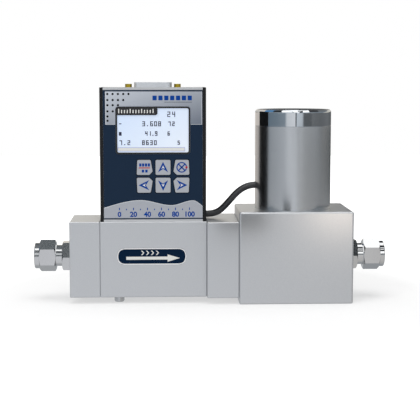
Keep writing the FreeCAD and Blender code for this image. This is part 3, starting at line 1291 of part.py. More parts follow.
# Main board on four standoffs from the rear wall
BOARD_BACK = "(rear_inner - standoff_length)"
BOARD_FRONT = "(-(" + BOARD_BACK + " - board_thickness))"
main_board = body("main_board", SENSOR_MIDDLE, "0", SENSOR_TOP + " + board_foot")
drawing = sketch(main_board, "XZ_Plane", "-" + BOARD_BACK)
rectangle(drawing, "-board_width / 2", "board_width / 2", "0", "board_height")
STANDOFFS = [("%d * standoff_side" % i, z)
             for i in (-1, 1) for z in ("standoff_inset", "(board_height - standoff_inset)")]
circles(drawing, [(x, z, "small_screw_radius + hole_play") for x, z in STANDOFFS])
pad(main_board, drawing, "board_thickness")
for across, up, width, height, rise in COMPONENTS:
    drawing = sketch(main_board, "XZ_Plane", BOARD_FRONT)
    x = "%.2f * board_width" % across
    z = "%.2f * board_height" % up
    rectangle(drawing, x + " - %s / 2" % width, x + " + %s / 2" % width,
              z + " - %s / 2" % height, z + " + %s / 2" % height)
    pad(main_board, drawing, rise)


def standoff(x, z):
    """A post from the rear wall, its neck through the board and the screw head in front."""
    solids = []
    steps = [("standoff_radius", "standoff_length", "0"),
             ("small_screw_radius", "board_thickness + seat_play", "standoff_length"),
             ("small_head_radius", "small_head_height", "standoff_length + board_thickness + seat_play")]
    for radius, length, start in steps:
        step = doc.addObject("Part::Cylinder", "standoff_step")
        step.setExpression("Radius", cell(radius))
        step.setExpression("Height", cell(length))
        step.setExpression("Placement.Base.z", cell(start))
        solids.append(step)
    post = doc.addObject("Part::MultiFuse", "standoff")
    post.Shapes = solids
    place(post, SENSOR_MIDDLE + " + " + x, "rear_inner", SENSOR_TOP + " + board_foot + " + z, (0, -1, 0))
    return post


group("board_standoffs", [standoff(x, z) for x, z in STANDOFFS])

# D-sub connector: metal shell with its flange under the cover
DSUB_FOOT = COVER_FOOT + " - dsub_flange_thickness - seat_play"
dsub_shell = body("dsub_shell", SENSOR_MIDDLE, "0", DSUB_FOOT)
drawing = sketch(dsub_shell, "XY_Plane")
rectangle(drawing, "-dsub_flange_width / 2", "dsub_flange_width / 2",
          "-dsub_flange_depth / 2", "dsub_flange_depth / 2")
d_outline(drawing, "dsub_wall")
circles(drawing, [("%d * post_pitch / 2" % i, "0", "post_shank_radius + hole_play") for i in (-1, 1)])
pad(dsub_shell, drawing, "dsub_flange_thickness")
drawing = sketch(dsub_shell, "XY_Plane")
d_outline(drawing, "0")
d_outline(drawing, "dsub_wall")
pad(dsub_shell, drawing, "dsub_height")
round_over(dsub_shell, "dsub_corner", connector_corners(0))
round_over(dsub_shell, "dsub_corner - dsub_wall", connector_corners(size("dsub_wall")))

# Connector insert with fifteen contact holes
dsub_insert = body("dsub_insert", SENSOR_MIDDLE, "0", DSUB_FOOT)
drawing = sketch(dsub_insert, "XY_Plane", "-dsub_body_depth")
rectangle(drawing, "-dsub_width / 2", "dsub_width / 2",
          "-dsub_depth / 2 - dsub_body_rim", "dsub_depth / 2 + dsub_body_rim")
pad(dsub_insert, drawing, "dsub_body_depth - seat_play")
drawing = sketch(dsub_insert, "XY_Plane", "-overrun")
d_outline(drawing, "dsub_wall + seat_play")
pad(dsub_insert, drawing, "dsub_height - dsub_sink + overrun")
round_over(dsub_insert, "dsub_corner - dsub_wall - seat_play",
           connector_corners(size("dsub_wall") + size("seat_play")))
pins = [("(%d - 3.5) * pin_pitch" % i, "pin_row_pitch / 2", "pin_hole_radius") for i in range(8)]
pins += [("(%d - 3) * pin_pitch" % i, "-pin_row_pitch / 2", "pin_hole_radius") for i in range(7)]
drill(dsub_insert, "XY_Plane", "dsub_height - dsub_sink", pins, "pin_hole_depth")

# Jackposts: hexagon on the cover, shank through the flange, tapped for the plug's screws
posts = []
for side in (-1, 1):
    post_hex = doc.addObject("Part::Prism", "post_hex")
    post_hex.Polygon = 6
    post_hex.setExpression("Circumradius", cell("post_across / sqrt(3)"))
    post_hex.setExpression("Height", cell("post_height"))
    post_shank = doc.addObject("Part::Cylinder", "post_shank")
    post_shank.setExpression("Radius", cell("post_shank_radius"))
    post_shank.setExpression("Height", cell("post_shank_length"))
    post_shank.setExpression("Placement.Base.z", cell("-post_shank_length"))
    post_blank = doc.addObject("Part::MultiFuse", "post_blank")
    post_blank.Shapes = [post_hex, post_shank]
    post_hole = doc.addObject("Part::Cylinder", "post_hole")
    post_hole.setExpression("Radius", cell("post_hole_radius"))
    post_hole.setExpression("Height", cell("post_height + post_shank_length / 2"))
    post_hole.setExpression("Placement.Base.z", cell("-post_shank_length / 2"))
    post = doc.addObject("Part::Cut", "post")
    post.Base = post_blank
    post.Tool = post_hole
    place(post, SENSOR_MIDDLE + " + %d * post_pitch / 2" % side, "0", SENSOR_TOP + " + housing_height")
    posts.append(post)
group("dsub_jackposts", posts)

# Flow sensor on the sensor block: base, tube, windings and cover
sensor_base = body("sensor_base", SENSOR_MIDDLE, "0", SENSOR_TOP)
drawing = sketch(sensor_base, "XY_Plane")
rectangle(drawing, "-sensor_base_width / 2", "sensor_base_width / 2",
          "-sensor_base_depth / 2", "sensor_base_depth / 2")
circles(drawing, [("%d * capillary_span / 2" % i, "0", "capillary_radius + capillary_play") for i in (-1, 1)])
pad(sensor_base, drawing, "sensor_base_height")
sensor_cover = body("sensor_cover", SENSOR_MIDDLE, "0", SENSOR_TOP + " + sensor_base_height")
drawing = sketch(sensor_cover, "XY_Plane")
rectangle(drawing, "-sensor_base_width / 2", "sensor_base_width / 2",
          "-sensor_base_depth / 2", "sensor_base_depth / 2")
pad(sensor_cover, drawing, "sensor_cover_height")
drawing = sketch(sensor_cover, "XY_Plane")
rectangle(drawing, "-sensor_base_width / 2 + sensor_cover_wall", "sensor_base_width / 2 - sensor_cover_wall",
          "-sensor_base_depth / 2 + sensor_cover_wall", "sensor_base_depth / 2 - sensor_cover_wall")
pocket(sensor_cover, drawing, "sensor_cover_height - sensor_cover_wall", True)
heaters = []
for side in (-1, 1):
    outside = doc.addObject("Part::Cylinder", "winding_outside")
    outside.setExpression("Radius", cell("heater_radius"))
    outside.setExpression("Height", cell("heater_length"))
    inside = doc.addObject("Part::Cylinder", "winding_inside")
    inside.setExpression("Radius", cell("capillary_radius + capillary_play"))
    inside.setExpression("Height", cell("heater_length"))
    heater = doc.addObject("Part::Cut", "winding")
    heater.Base = outside
    heater.Tool = inside
    start = "(heater_gap / 2)" if side > 0 else "(-heater_gap / 2 - heater_length)"
    place(heater, SENSOR_MIDDLE + " + " + start, "0", SENSOR_TOP + " + capillary_rise", (1, 0, 0))
    heaters.append(heater)
group("sensor_windings", heaters)


def smooth_path(points, share=None, radius=None):
    """Straight runs through points, joined by tangent arcs of a share of the shorter run or a radius."""
    edges = []
    radii = []
    start = points[0]
    for before, corner, after in zip(points, points[1:], points[2:]):
        first = corner - before
        second = after - corner
        turn = first.getAngle(second)
        if radius is None:
            trim = share * min(first.Length, second.Length)
            bend = trim / math.tan(turn / 2)
        else:
            bend = radius
            trim = radius * math.tan(turn / 2)
        first.normalize()
        second.normalize()
        enter = corner - first * trim
        leave = corner + second * trim
        inward = second - first
        inward.normalize()
        middle = corner + inward * (bend / math.cos(turn / 2) - bend)
        edges.append(Part.LineSegment(start, enter).toShape())
        edges.append(Part.Arc(enter, middle, leave).toShape())
        radii.append(bend)
        start = leave
    edges.append(Part.LineSegment(start, points[-1]).toShape())
    return Part.Wire(edges), radii


def tube_along(label, points, tube_radius, share=None, radius=None):
    """A round tube's solid along a smooth path."""
    path, radii = smooth_path(points, share, radius)
    heading = points[1] - points[0]
    section = Part.Face(Part.Wire(Part.Circle(points[0], heading, tube_radius).toShape()))
    solid = path.makePipe(section)
    expected = math.pi * tube_radius ** 2 * path.Length
    if abs(solid.Volume - expected) > 0.01 * expected:
        raise ValueError(label + " has the wrong volume")
    piece = doc.addObject("Part::Feature", label)
    piece.Label = label
    piece.Shape = solid
    NODES.append(piece)
    print(label, "length", round(path.Length, 1), "bend radii", [round(bend, 1) for bend in radii])
    return piece


# Sensor tube: a capillary from the block, over the windings and back
half_span = size("capillary_span") / 2
leg_foot = -size("capillary_drop")
leg_top = size("capillary_rise")
capillary = tube_along("sensor_tube", [
    FreeCAD.Vector(-half_span, 0, leg_foot),
    FreeCAD.Vector(-half_span, 0, leg_top),
    FreeCAD.Vector(half_span, 0, leg_top),
    FreeCAD.Vector(half_span, 0, leg_foot),
], size("capillary_radius"), radius=size("capillary_bend"))
place(capillary, SENSOR_MIDDLE, "0", SENSOR_TOP)

# Bush where the lead leaves the housing: it fills the notch at the foot of the right wall
housing_cable_bush = body("housing_cable_bush", SENSOR_MIDDLE + " + inner_half", "0", SENSOR_TOP)
drawing = sketch(housing_cable_bush, "YZ_Plane")
circles(drawing, [("0", "cable_exit_rise", "bush_radius - seat_play / 2")])
pad(housing_cable_bush, drawing, "housing_wall")
drawing = sketch(housing_cable_bush, "YZ_Plane")
rectangle(drawing, "-(bush_radius - seat_play / 2)", "bush_radius - seat_play / 2",
          "seat_play / 2", "cable_exit_rise")
pad(housing_cable_bush, drawing, "housing_wall")
drill(housing_cable_bush, "YZ_Plane", "0", [("0", "cable_exit_rise", "cable_radius + cable_play")],
      "housing_wall", True)

# Bush where the lead enters the can
can_cable_bush = body("can_cable_bush", VALVE_AXIS + " - can_radius", "0", "valve_height + cable_entry_rise")
drawing = sketch(can_cable_bush, "YZ_Plane")
circles(drawing, [("0", "0", "bush_radius - seat_play / 2"), ("0", "0", "cable_radius + cable_play")])
pad(can_cable_bush, drawing, "can_wall")

# Lead from the housing to the can
way = size("cable_end_x") - size("cable_start_x")
climb = size("cable_end_z") - size("cable_start_z")
tube_along("valve_cable", [
    FreeCAD.Vector(size("cable_start_x") + way * x, 0, size("cable_start_z") + climb * z)
    for x, z in CABLE_ROUTE], size("cable_radius"), share=0.49)

# Plunger spring: round wire in straight steps round the coil, from the plunger to the core
spring_low = size("spring_wire") + size("spring_end_gap")
spring_high = size("spring_pocket_depth") + size("stroke") + size("core_gap") - spring_low
steps_per_turn = 10
turns = 5
spots = []
for step in range(steps_per_turn * turns + 1):
    angle = 2 * math.pi * step / steps_per_turn
    rise = spring_low + (spring_high - spring_low) * step / (steps_per_turn * turns)
    spots.append(FreeCAD.Vector(size("spring_radius") * math.cos(angle),
                                size("spring_radius") * math.sin(angle), rise))
spring_path = Part.makePolygon(spots)
wire_end = Part.Wire(Part.Circle(spots[0], spots[1] - spots[0], size("spring_wire")).toShape())
plunger_spring = doc.addObject("Part::Feature", "plunger_spring")
plunger_spring.Label = "plunger_spring"
plunger_spring.Shape = spring_path.makePipeShell([wire_end], True, False, 1)
place(plunger_spring, VALVE_AXIS, "0", SHUT + " + plunger_length - spring_pocket_depth")
NODES.append(plunger_spring)

doc.recompute()
failed = [item.Name for item in doc.Objects if "Invalid" in item.State or "Error" in item.State]
if failed:
    raise ValueError("failed objects: " + ", ".join(failed))
for node in NODES:
    if node.Shape.isNull() or not node.Shape.isValid() or not node.Shape.Solids:
        raise ValueError("bad shape: " + node.Label)

os.makedirs("parts", exist_ok=True)
for node in NODES:
    node.Shape.exportStep("parts/" + node.Label + ".step")
print(len(NODES), "nodes written")
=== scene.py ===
import bpy
import math
import numpy as np
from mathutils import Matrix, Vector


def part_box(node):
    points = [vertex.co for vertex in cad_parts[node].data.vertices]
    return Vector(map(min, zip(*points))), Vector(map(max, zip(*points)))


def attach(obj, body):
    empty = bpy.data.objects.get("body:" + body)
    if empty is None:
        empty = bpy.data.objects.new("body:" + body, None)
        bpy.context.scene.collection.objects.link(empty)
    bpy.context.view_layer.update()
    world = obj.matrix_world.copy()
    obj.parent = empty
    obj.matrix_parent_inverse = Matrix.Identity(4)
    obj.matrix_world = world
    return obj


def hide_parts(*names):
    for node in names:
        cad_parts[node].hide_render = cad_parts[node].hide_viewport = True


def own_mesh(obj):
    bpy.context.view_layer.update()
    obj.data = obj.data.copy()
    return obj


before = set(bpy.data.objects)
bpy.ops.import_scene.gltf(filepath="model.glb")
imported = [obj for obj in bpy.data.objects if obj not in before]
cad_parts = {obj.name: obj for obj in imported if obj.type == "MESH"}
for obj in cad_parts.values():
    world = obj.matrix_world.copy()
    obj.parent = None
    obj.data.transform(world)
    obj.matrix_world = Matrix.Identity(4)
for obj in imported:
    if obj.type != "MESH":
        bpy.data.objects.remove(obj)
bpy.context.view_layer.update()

# Flow body: four blocks bored through on one axis.
# Milled from aluminium bar, then bead blasted and clear anodised, which leaves an even satin grey.


def linear(code):
    """A linear colour from sRGB hex: a channel c becomes ((c + 0.055) / 1.055) to the power 2.4."""
    channels = [int(code[i:i + 2], 16) / 255 for i in (1, 3, 5)]
    return tuple(c / 12.92 if c <= 0.04045 else ((c + 0.055) / 1.055) ** 2.4 for c in channels) + (1.0,)


def add(tree, kind, values=(), links=(), **settings):
    """Add a shader node with its settings, its socket values and its incoming links."""
    made = tree.nodes.new("ShaderNode" + kind)
    for key, value in settings.items():
        setattr(made, key, value)
    for socket, value in values:
        made.inputs[socket].default_value = value
    for socket, source in links:
        tree.links.new(source, made.inputs[socket])
    return made


def finish(name, code, metallic, roughness, **sockets):
    """A material with one principled shader. Further sockets are given by name, with _ for a space."""
    made = bpy.data.materials.new(name)
    made.use_nodes = True
    shader = made.node_tree.nodes["Principled BSDF"]
    shader.inputs["Base Color"].default_value = linear(code)
    shader.inputs["Metallic"].default_value = metallic
    shader.inputs["Roughness"].default_value = roughness
    for key, value in sockets.items():
        shader.inputs[key.replace("_", " ")].default_value = value
    return made, made.node_tree, shader


def grain(tree, shader, grain_mm, codes, roughness, height_mm, stretch=(1, 1, 1)):
    """Noise over the part, a grain in millimetres that can be stretched along an axis. It moves the
    colour between two tones and the roughness between two values, and stands up by a small height."""
    place = add(tree, "TexCoord")
    scale = [1000 / (grain_mm * way) for way in stretch]
    turn = add(tree, "Mapping", [("Scale", scale)], [("Vector", place.outputs["Object"])])
    noise = add(tree, "TexNoise", [("Scale", 1.0), ("Detail", 3.0), ("Roughness", 0.6)],
                [("Vector", turn.outputs[0])])
    ramp = add(tree, "ValToRGB", [], [("Fac", noise.outputs["Fac"])])
    ramp.color_ramp.elements[0].position = 0.3
    ramp.color_ramp.elements[0].color = linear(codes[0])
    ramp.color_ramp.elements[1].position = 0.7
    ramp.color_ramp.elements[1].color = linear(codes[1])
    tree.links.new(ramp.outputs["Color"], shader.inputs["Base Color"])
    span = add(tree, "MapRange", [("To Min", roughness[0]), ("To Max", roughness[1])],
               [("Value", noise.outputs["Fac"])])
    tree.links.new(span.outputs["Result"], shader.inputs["Roughness"])
    bump = add(tree, "Bump", [("Strength", 1.0), ("Distance", height_mm / 1000)],
               [("Height", noise.outputs["Fac"])])
    tree.links.new(bump.outputs["Normal"], shader.inputs["Normal"])


def dress(material, *names):
    """Give CAD nodes this material in all their slots."""
    for name in names:
        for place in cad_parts[name].material_slots:
            place.material = material


# Blasting leaves dimples of about 0.1 mm. They are drawn 0.6 mm wide, as the finest that shows.
blasted_aluminium, tree, shader = finish("bead blasted anodised aluminium", "#C8CACC", 0.85, 0.3)
grain(tree, shader, 0.6, ("#C5C7CA", "#CBCDCF"), (0.28, 0.33), 0.001)
dress(blasted_aluminium, "inlet_block", "sensor_block", "adapter_block", "valve_block")

# Fasteners: socket head screws and bolts that pull the blocks, the ring and the plates together.
# Cold headed stainless steel, bright with fine turning marks round the head.
screw_steel, tree, shader = finish("cold headed stainless steel", "#C9CACB", 1.0, 0.25)
grain(tree, shader, 0.25, ("#BDBFC0", "#D2D3D4"), (0.2, 0.32), 0.003)
dress(screw_steel, "inlet_block_screws", "adapter_block_screws", "valve_block_bolts",
      "base_ring_screws", "base_plate_screws", "cover_screws")

# Support feet: two round turned feet screwed up into the sensor block.
# Turned stainless steel with a rounded lower edge, a little duller than the fittings.
foot_steel, tree, shader = finish("turned stainless steel", "#B9BBBD", 1.0, 0.2)
grain(tree, shader, 0.3, ("#AEB0B2", "#C4C6C8"), (0.16, 0.26), 0.002, (8, 8, 0.4))
dress(foot_steel, "support_feet")

# Seals: O-rings in the joints and the disc in the plunger, of moulded fluoro rubber.
# Dull black with a slight sheen.
moulded_rubber, tree, shader = finish("moulded fluoro rubber", "#1B1B1C", 0.0, 0.6)
grain(tree, shader, 0.2, ("#161617", "#212122"), (0.52, 0.68), 0.01)
dress(moulded_rubber, "inlet_o_ring", "adapter_o_ring", "valve_o_ring", "flange_o_ring", "seat_seal")

# Inlet filter and laminar flow element, inside the blocks.
# The filter is sintered from steel powder, the element is milled from stainless bar.
sintered_steel, tree, shader = finish("sintered steel powder", "#8E8C88", 0.9, 0.7)
grain(tree, shader, 0.15, ("#6E6C69", "#A6A4A0"), (0.6, 0.85), 0.04)
dress(sintered_steel, "inlet_filter")
milled_steel, tree, shader = finish("milled stainless steel", "#B4B6B8", 1.0, 0.3)
grain(tree, shader, 0.3, ("#A6A8AA", "#C2C4C6"), (0.24, 0.36), 0.003, (10, 1, 1))
dress(milled_steel, "laminar_flow_element", "valve_seat", "sensor_base")

# Tube fittings: a body, two ferrules and a nut at each end.
# Machined stainless steel, polished after turning, so that it mirrors the studio in bands.
polished_steel, tree, shader = finish("polished stainless steel", "#C3C4C5", 1.0, 0.08)
grain(tree, shader, 0.5, ("#C1C2C3", "#C6C7C8"), (0.06, 0.09), 0.0001, (0.3, 4, 4))
dress(polished_steel, "inlet_fitting_body", "inlet_fitting_nut", "inlet_front_ferrule", "inlet_back_ferrule",
      "outlet_fitting_body", "outlet_fitting_nut", "outlet_front_ferrule", "outlet_back_ferrule")

# Valve: guide tube, plunger, core, spring and the coil inside the can.
# Turned soft magnetic steel, drawn steel wire, enamelled copper wire on a moulded bobbin.
magnetic_steel, tree, shader = finish("turned soft magnetic steel", "#A9ABAD", 1.0, 0.3)
grain(tree, shader, 0.3, ("#9C9EA0", "#B6B8BA"), (0.24, 0.38), 0.003, (6, 6, 0.5))
dress(magnetic_steel, "guide_tube", "valve_plunger", "pole_core", "can_base_ring", "coil_top_plate",
      "coil_nut")
drawn_steel, tree, shader = finish("drawn stainless steel", "#BEC0C2", 1.0, 0.25)
grain(tree, shader, 0.2, ("#B4B6B8", "#C8CACC"), (0.2, 0.3), 0.001)
dress(drawn_steel, "plunger_spring", "sensor_tube")
copper_wire, tree, shader = finish("enamelled copper wire", "#A5582B", 0.9, 0.35)
grain(tree, shader, 0.4, ("#8C4622", "#BB6A37"), (0.28, 0.42), 0.05, (12, 12, 0.5))
dress(copper_wire, "coil_winding", "sensor_windings")
bobbin_plastic, tree, shader = finish("glass filled polyamide", "#26282A", 0.0, 0.5)
grain(tree, shader, 0.5, ("#222426", "#2C2E30"), (0.45, 0.6), 0.008)
dress(bobbin_plastic, "coil_bobbin")

# Plunger spring: wire wound round the plunger's middle line, up against the core.
# Drawn stainless steel.
SPRING_TURNS = 5
WIRE_RADIUS = 0.0004


def show(name, data):
    """An object at the origin that shows a mesh, a curve, a light or a camera's lens."""
    made = bpy.data.objects.new(name, data)
    bpy.context.collection.objects.link(made)
    return made


def mesh_piece(name, points, faces, material):
    """An object of one mesh and one material, from an array of points in metres and a list of faces."""
    mesh = bpy.data.meshes.new(name)
    mesh.from_pydata(np.reshape(points, (-1, 3)).tolist(), [], faces)
    mesh.materials.append(material)
    return show(name, mesh)


def wound_wire(name, low, high, turns, wire, material, steps=24, around=12):
    """A coil of round wire in a box: a ring of points at the angle b, reach = R + wire cos b from the
    axis and wire sin b above the middle line, is carried round by the angle a and rises evenly."""
    a = np.linspace(0, 2 * np.pi * turns, steps * turns + 1)[:, None]
    b = np.linspace(0, 2 * np.pi, around, endpoint=False)[None, :]
    reach = (high[0] - low[0]) / 2 - wire + wire * np.cos(b)
    rise = np.linspace(low[2] + wire, high[2] - wire, len(a))[:, None] + wire * np.sin(b)
    x = (low[0] + high[0]) / 2 + reach * np.cos(a)
    y = (low[1] + high[1]) / 2 + reach * np.sin(a)
    index = np.arange(x.size).reshape(x.shape)
    beside = np.roll(index, -1, axis=1)
    faces = np.stack([index[:-1], index[1:], beside[1:], beside[:-1]], axis=-1).reshape(-1, 4).tolist()
    faces += [index[0].tolist(), index[-1, ::-1].tolist()]
    return mesh_piece(name, np.stack([x, y, rise], axis=-1), faces, material)


low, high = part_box("plunger_spring")
coil = wound_wire("plunger_coil_spring", low, high, SPRING_TURNS, WIRE_RADIUS, drawn_steel)
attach(coil, "meter")
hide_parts("plunger_spring")
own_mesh(coil)

# Can: a turned steel tube over the coil, with a cap pressed on top.
# The tube is brushed round and satin. The cap is polished, so that its mirror bands are sharp.
brushed_can, tree, shader = finish("turned and brushed stainless steel", "#C4C7C9", 1.0, 0.2)
grain(tree, shader, 0.3, ("#C0C2C5", "#C8CBCD"), (0.21, 0.26), 0.0008, (20, 20, 0.4))
dress(brushed_can, "valve_can")
polished_cap, tree, shader = finish("polished turned steel", "#CDD1D5", 1.0, 0.05)
grain(tree, shader, 0.5, ("#C9CDD2", "#D1D5D8"), (0.04, 0.07), 0.0003, (10, 10, 0.5))
dress(polished_cap, "can_cap")

# Lead: a round two core lead from the housing to the coil, between two moulded bushes.
# Black soft PVC, smooth, with a broad sheen along it.
moulded_black, tree, shader = finish("moulded black polyamide", "#17181A", 0.0, 0.45)
grain(tree, shader, 0.4, ("#141516", "#1D1E20"), (0.4, 0.55), 0.006)
dress(moulded_black, "housing_cable_bush", "can_cable_bush")
lead_jacket, tree, shader = finish("black PVC jacket", "#1C1D20", 0.0, 0.34, Specular_IOR_Level=0.75)
grain(tree, shader, 0.5, ("#191A1D", "#222327"), (0.3, 0.4), 0.006)
dress(lead_jacket, "valve_cable")

LEAD_DIAMETER = 0.0045
# The route's points, X and Z in metres in the middle plane, from the housing to inside the can
LEAD_ROUTE = [
    (-0.0057, 0.0584),
    (0.0009, 0.0584),
    (0.0064, 0.0604),
    (0.0106, 0.0644),
    (0.0149, 0.0694),
    (0.0192, 0.0740),
    (0.0244, 0.0773),
    (0.0296, 0.0785),
    (0.0330, 0.0785),
]
route = bpy.data.curves.new("valve_lead", "CURVE")
route.dimensions = "3D"
spline = route.splines.new("NURBS")
spline.points.add(len(LEAD_ROUTE) - 1)
spots = np.array([(x, 0.0, z, 1.0) for x, z in LEAD_ROUTE])
spline.points.foreach_set("co", spots.ravel())
spline.order_u = 3
spline.use_endpoint_u = True
route.resolution_u = 12
route.bevel_depth = LEAD_DIAMETER / 2
route.bevel_resolution = 5
route.use_fill_caps = True
route.materials.append(lead_jacket)
lead = show("valve_lead", route)
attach(lead, "meter")
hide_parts("valve_cable")

# Housing: a shell of three walls, a base plate, a top cover and a front panel.
# Folded sheet steel with black powder coat. The cover and base plate are brushed aluminium.
powder_coat, tree, shader = finish("black powder coat", "#121315", 0.0, 0.5, Specular_IOR_Level=0.25)
grain(tree, shader, 0.5, ("#101113", "#161719"), (0.44, 0.6), 0.01)
dress(powder_coat, "housing_shell")
brushed_sheet, tree, shader = finish("brushed aluminium sheet", "#CFD0D2", 0.85, 0.36)
grain(tree, shader, 0.3, ("#C8C9CB", "#D6D7D8"), (0.3, 0.42), 0.004, (30, 1, 1))
dress(brushed_sheet, "base_plate", "top_cover", "front_panel", "sensor_cover")

# Electronics inside the housing: main board, keypad board and the standoffs that carry them.
# Epoxy glass board with green solder mask over copper.
solder_mask, tree, shader = finish("green solder mask on epoxy glass", "#1E5A35", 0.0, 0.35)
grain(tree, shader, 2.0, ("#1A5230", "#25653D"), (0.3, 0.42), 0.01)
dress(solder_mask, "main_board", "keypad_board")
dress(screw_steel, "board_standoffs")

# Front overlay: one printed polyester film with six embossed keys, glued to the front panel.
# Matt film, reverse printed: navy on the field and silver on the keys, which stand 0.25 mm proud.
# The sizes and places of what is printed here and below are in millimetres, in the frame's own axes.
KEY_RISE = 0.25
KEY_EDGE = 0.08
FILM_TEXTURE = 0.4
key_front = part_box("front_overlay")[0][1] * 1000
film_front = key_front + KEY_RISE
overlay_film, tree, shader = finish("printed polyester film", "#1C2C40", 0.0, 0.5, Specular_IOR_Level=0.15)
place = add(tree, "TexCoord")
apart = add(tree, "SeparateXYZ", [], [("Vector", place.outputs["Object"])])
# What stands more than the key's edge before the film is a key
raised = add(tree, "Math", [(1, (film_front - KEY_EDGE) / 1000)], [(0, apart.outputs["Y"])],
             operation="LESS_THAN")
texture = add(tree, "TexNoise", [("Scale", 1000 / FILM_TEXTURE), ("Detail", 2.0)],
              [("Vector", place.outputs["Object"])])
field = add(tree, "ValToRGB", [], [("Fac", texture.outputs["Fac"])])
field.color_ramp.elements[0].color = linear("#12253A")
field.color_ramp.elements[1].color = linear("#172B42")
keys = add(tree, "ValToRGB", [], [("Fac", texture.outputs["Fac"])])
keys.color_ramp.elements[0].color = linear("#AEB2BA")
keys.color_ramp.elements[1].color = linear("#B8BCC3")
colour = add(tree, "Mix", [], [("Factor", raised.outputs[0]), ("A", field.outputs["Color"]),
                               ("B", keys.outputs["Color"])], data_type="RGBA")
tree.links.new(colour.outputs["Result"], shader.inputs["Base Color"])
bump = add(tree, "Bump", [("Distance", 0.000004)], [("Height", texture.outputs["Fac"])])
tree.links.new(bump.outputs["Normal"], shader.inputs["Normal"])
dress(overlay_film, "front_overlay")


def rectangle(left, right, low, high):
    """The four corners of a rectangle, anticlockwise from the front."""
    return np.array([(left, low), (right, low), (right, high), (left, high)], float)


def circle(x, z, radius, count=28):
    """Points on a circle: the centre plus radius times cosine and sine of equal steps."""
    angle = np.linspace(0, 2 * np.pi, count, endpoint=False)
    return np.column_stack([x + radius * np.cos(angle), z + radius * np.sin(angle)])


def rounded(corners, radius, steps=6):
    """An outline whose corners are curves: from a radius before the corner to a radius after it,
    each a quadratic curve (1-t)(1-t) start + 2t(1-t) corner + tt end."""
    corners = np.asarray(corners, float)
    back = np.roll(corners, 1, axis=0) - corners
    ahead = np.roll(corners, -1, axis=0) - corners
    start = corners + radius * back / np.linalg.norm(back, axis=1, keepdims=True)
    end = corners + radius * ahead / np.linalg.norm(ahead, axis=1, keepdims=True)
    t = np.linspace(0, 1, steps)[None, :, None]
    curve = (1 - t) ** 2 * start[:, None] + 2 * t * (1 - t) * corners[:, None] + t ** 2 * end[:, None]
    return curve.reshape(-1, 2)


def runs_clockwise(loop):
    """Whether an outline runs clockwise: the area inside it, by the sum of x1 z2 - x2 z1, is below zero."""
    loop = np.asarray(loop, float)
    return np.sum(loop[:, 0] * np.roll(loop[:, 1], -1) - np.roll(loop[:, 0], -1) * loop[:, 1]) < 0


def stood_up(loop, y):
    """An outline in X and Z as points at one Y."""
    return np.column_stack([loop[:, 0], np.full(len(loop), y), loop[:, 1]])


def print_on(name, front, material, outlines=(), rings=(), depth=0.06):
    """A print: each outline in X and Z is carried back along Y from its front by a depth, and closed by
    a face at each end. A ring is carried back between an outer and an inner outline of like count.
    The front is 0.02 to 0.07 mm before what carries the print, so that an upper ink covers a lower."""
    spots = []
    faces = []
    count = 0
    for loop in outlines:
        loop = np.asarray(loop, float)
        if runs_clockwise(loop):
            loop = loop[::-1]
        size = len(loop)
        i = count + np.arange(size)
        j = np.roll(i, -1)
        spots += [stood_up(loop, y) for y in (front, front + depth)]
        faces += [i.tolist(), (i[::-1] + size).tolist()]
        faces += np.column_stack([i, i + size, j + size, j]).tolist()
        count += 2 * size
    for outer, inner in rings:
        if runs_clockwise(outer):
            outer, inner = outer[::-1], inner[::-1]
        size = len(outer)
        i = count + np.arange(size)
        j = np.roll(i, -1)
        spots += [stood_up(loop, y) for y in (front, front + depth) for loop in (outer, inner)]
        walls = [(i, j, j + size, i + size), (i + 2 * size, i + 3 * size, j + 3 * size, j + 2 * size),
                 (i, i + 2 * size, j + 2 * size, j), (i + size, j + size, j + 3 * size, i + 3 * size)]
        for wall in walls:
            faces += np.column_stack(wall).tolist()
        count += 4 * size
    piece = mesh_piece(name, np.concatenate(spots) / 1000, faces, material)
    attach(piece, "meter")
    return piece


def ink(name, codes, roughness=0.45, metallic=0.0):
    """Two close tones in a 0.4 mm mottle: screen printed ink, and on the pale lines a painted highlight."""
    made, tree, shader = finish(name, codes[0], metallic, roughness, Specular_IOR_Level=0.15)
    grain(tree, shader, 0.4, codes, (roughness - 0.05, roughness + 0.05), 0.002)
    return made


# Upper silver panel of the overlay, screen printed round the display in silver ink with fine flakes.
# It darkens from its upper left corner, where the ramp is at 0, to its lower right one, where it is at 1.
PANEL_LEFT = -70.64
PANEL_RIGHT = -6.26
PANEL_LOW = 120.77
PANEL_HIGH = 142.73
DISPLAY_GAP = 0.1
FLAKE = 1 / 3
across = 0.5 / (PANEL_RIGHT - PANEL_LEFT)
down = 0.5 / (PANEL_HIGH - PANEL_LOW)
panel_ink, tree, shader = finish("silver screen print", "#AEB4BC", 0.35, 0.45)
place = add(tree, "TexCoord")
centre = add(tree, "Mapping", [("Location", (-PANEL_LEFT * across, 0, -PANEL_HIGH * down)),
                               ("Scale", (1000 * across, 1, 1000 * down))],
             [("Vector", place.outputs["Object"])])
apart = add(tree, "SeparateXYZ", [], [("Vector", centre.outputs[0])])
slope = add(tree, "Math", [], [(0, apart.outputs["X"]), (1, apart.outputs["Z"])], operation="SUBTRACT")
shade = add(tree, "ValToRGB", [], [("Fac", slope.outputs[0])])
shade.color_ramp.elements[0].color = linear("#CED4DD")
shade.color_ramp.elements[1].color = linear("#717987")
tree.links.new(shade.outputs["Color"], shader.inputs["Base Color"])
flake = add(tree, "TexNoise", [("Scale", 1000 / FLAKE)], [("Vector", place.outputs["Object"])])
bump = add(tree, "Bump", [("Distance", 0.000004)], [("Height", flake.outputs["Fac"])])
tree.links.new(bump.outputs["Normal"], shader.inputs["Normal"])

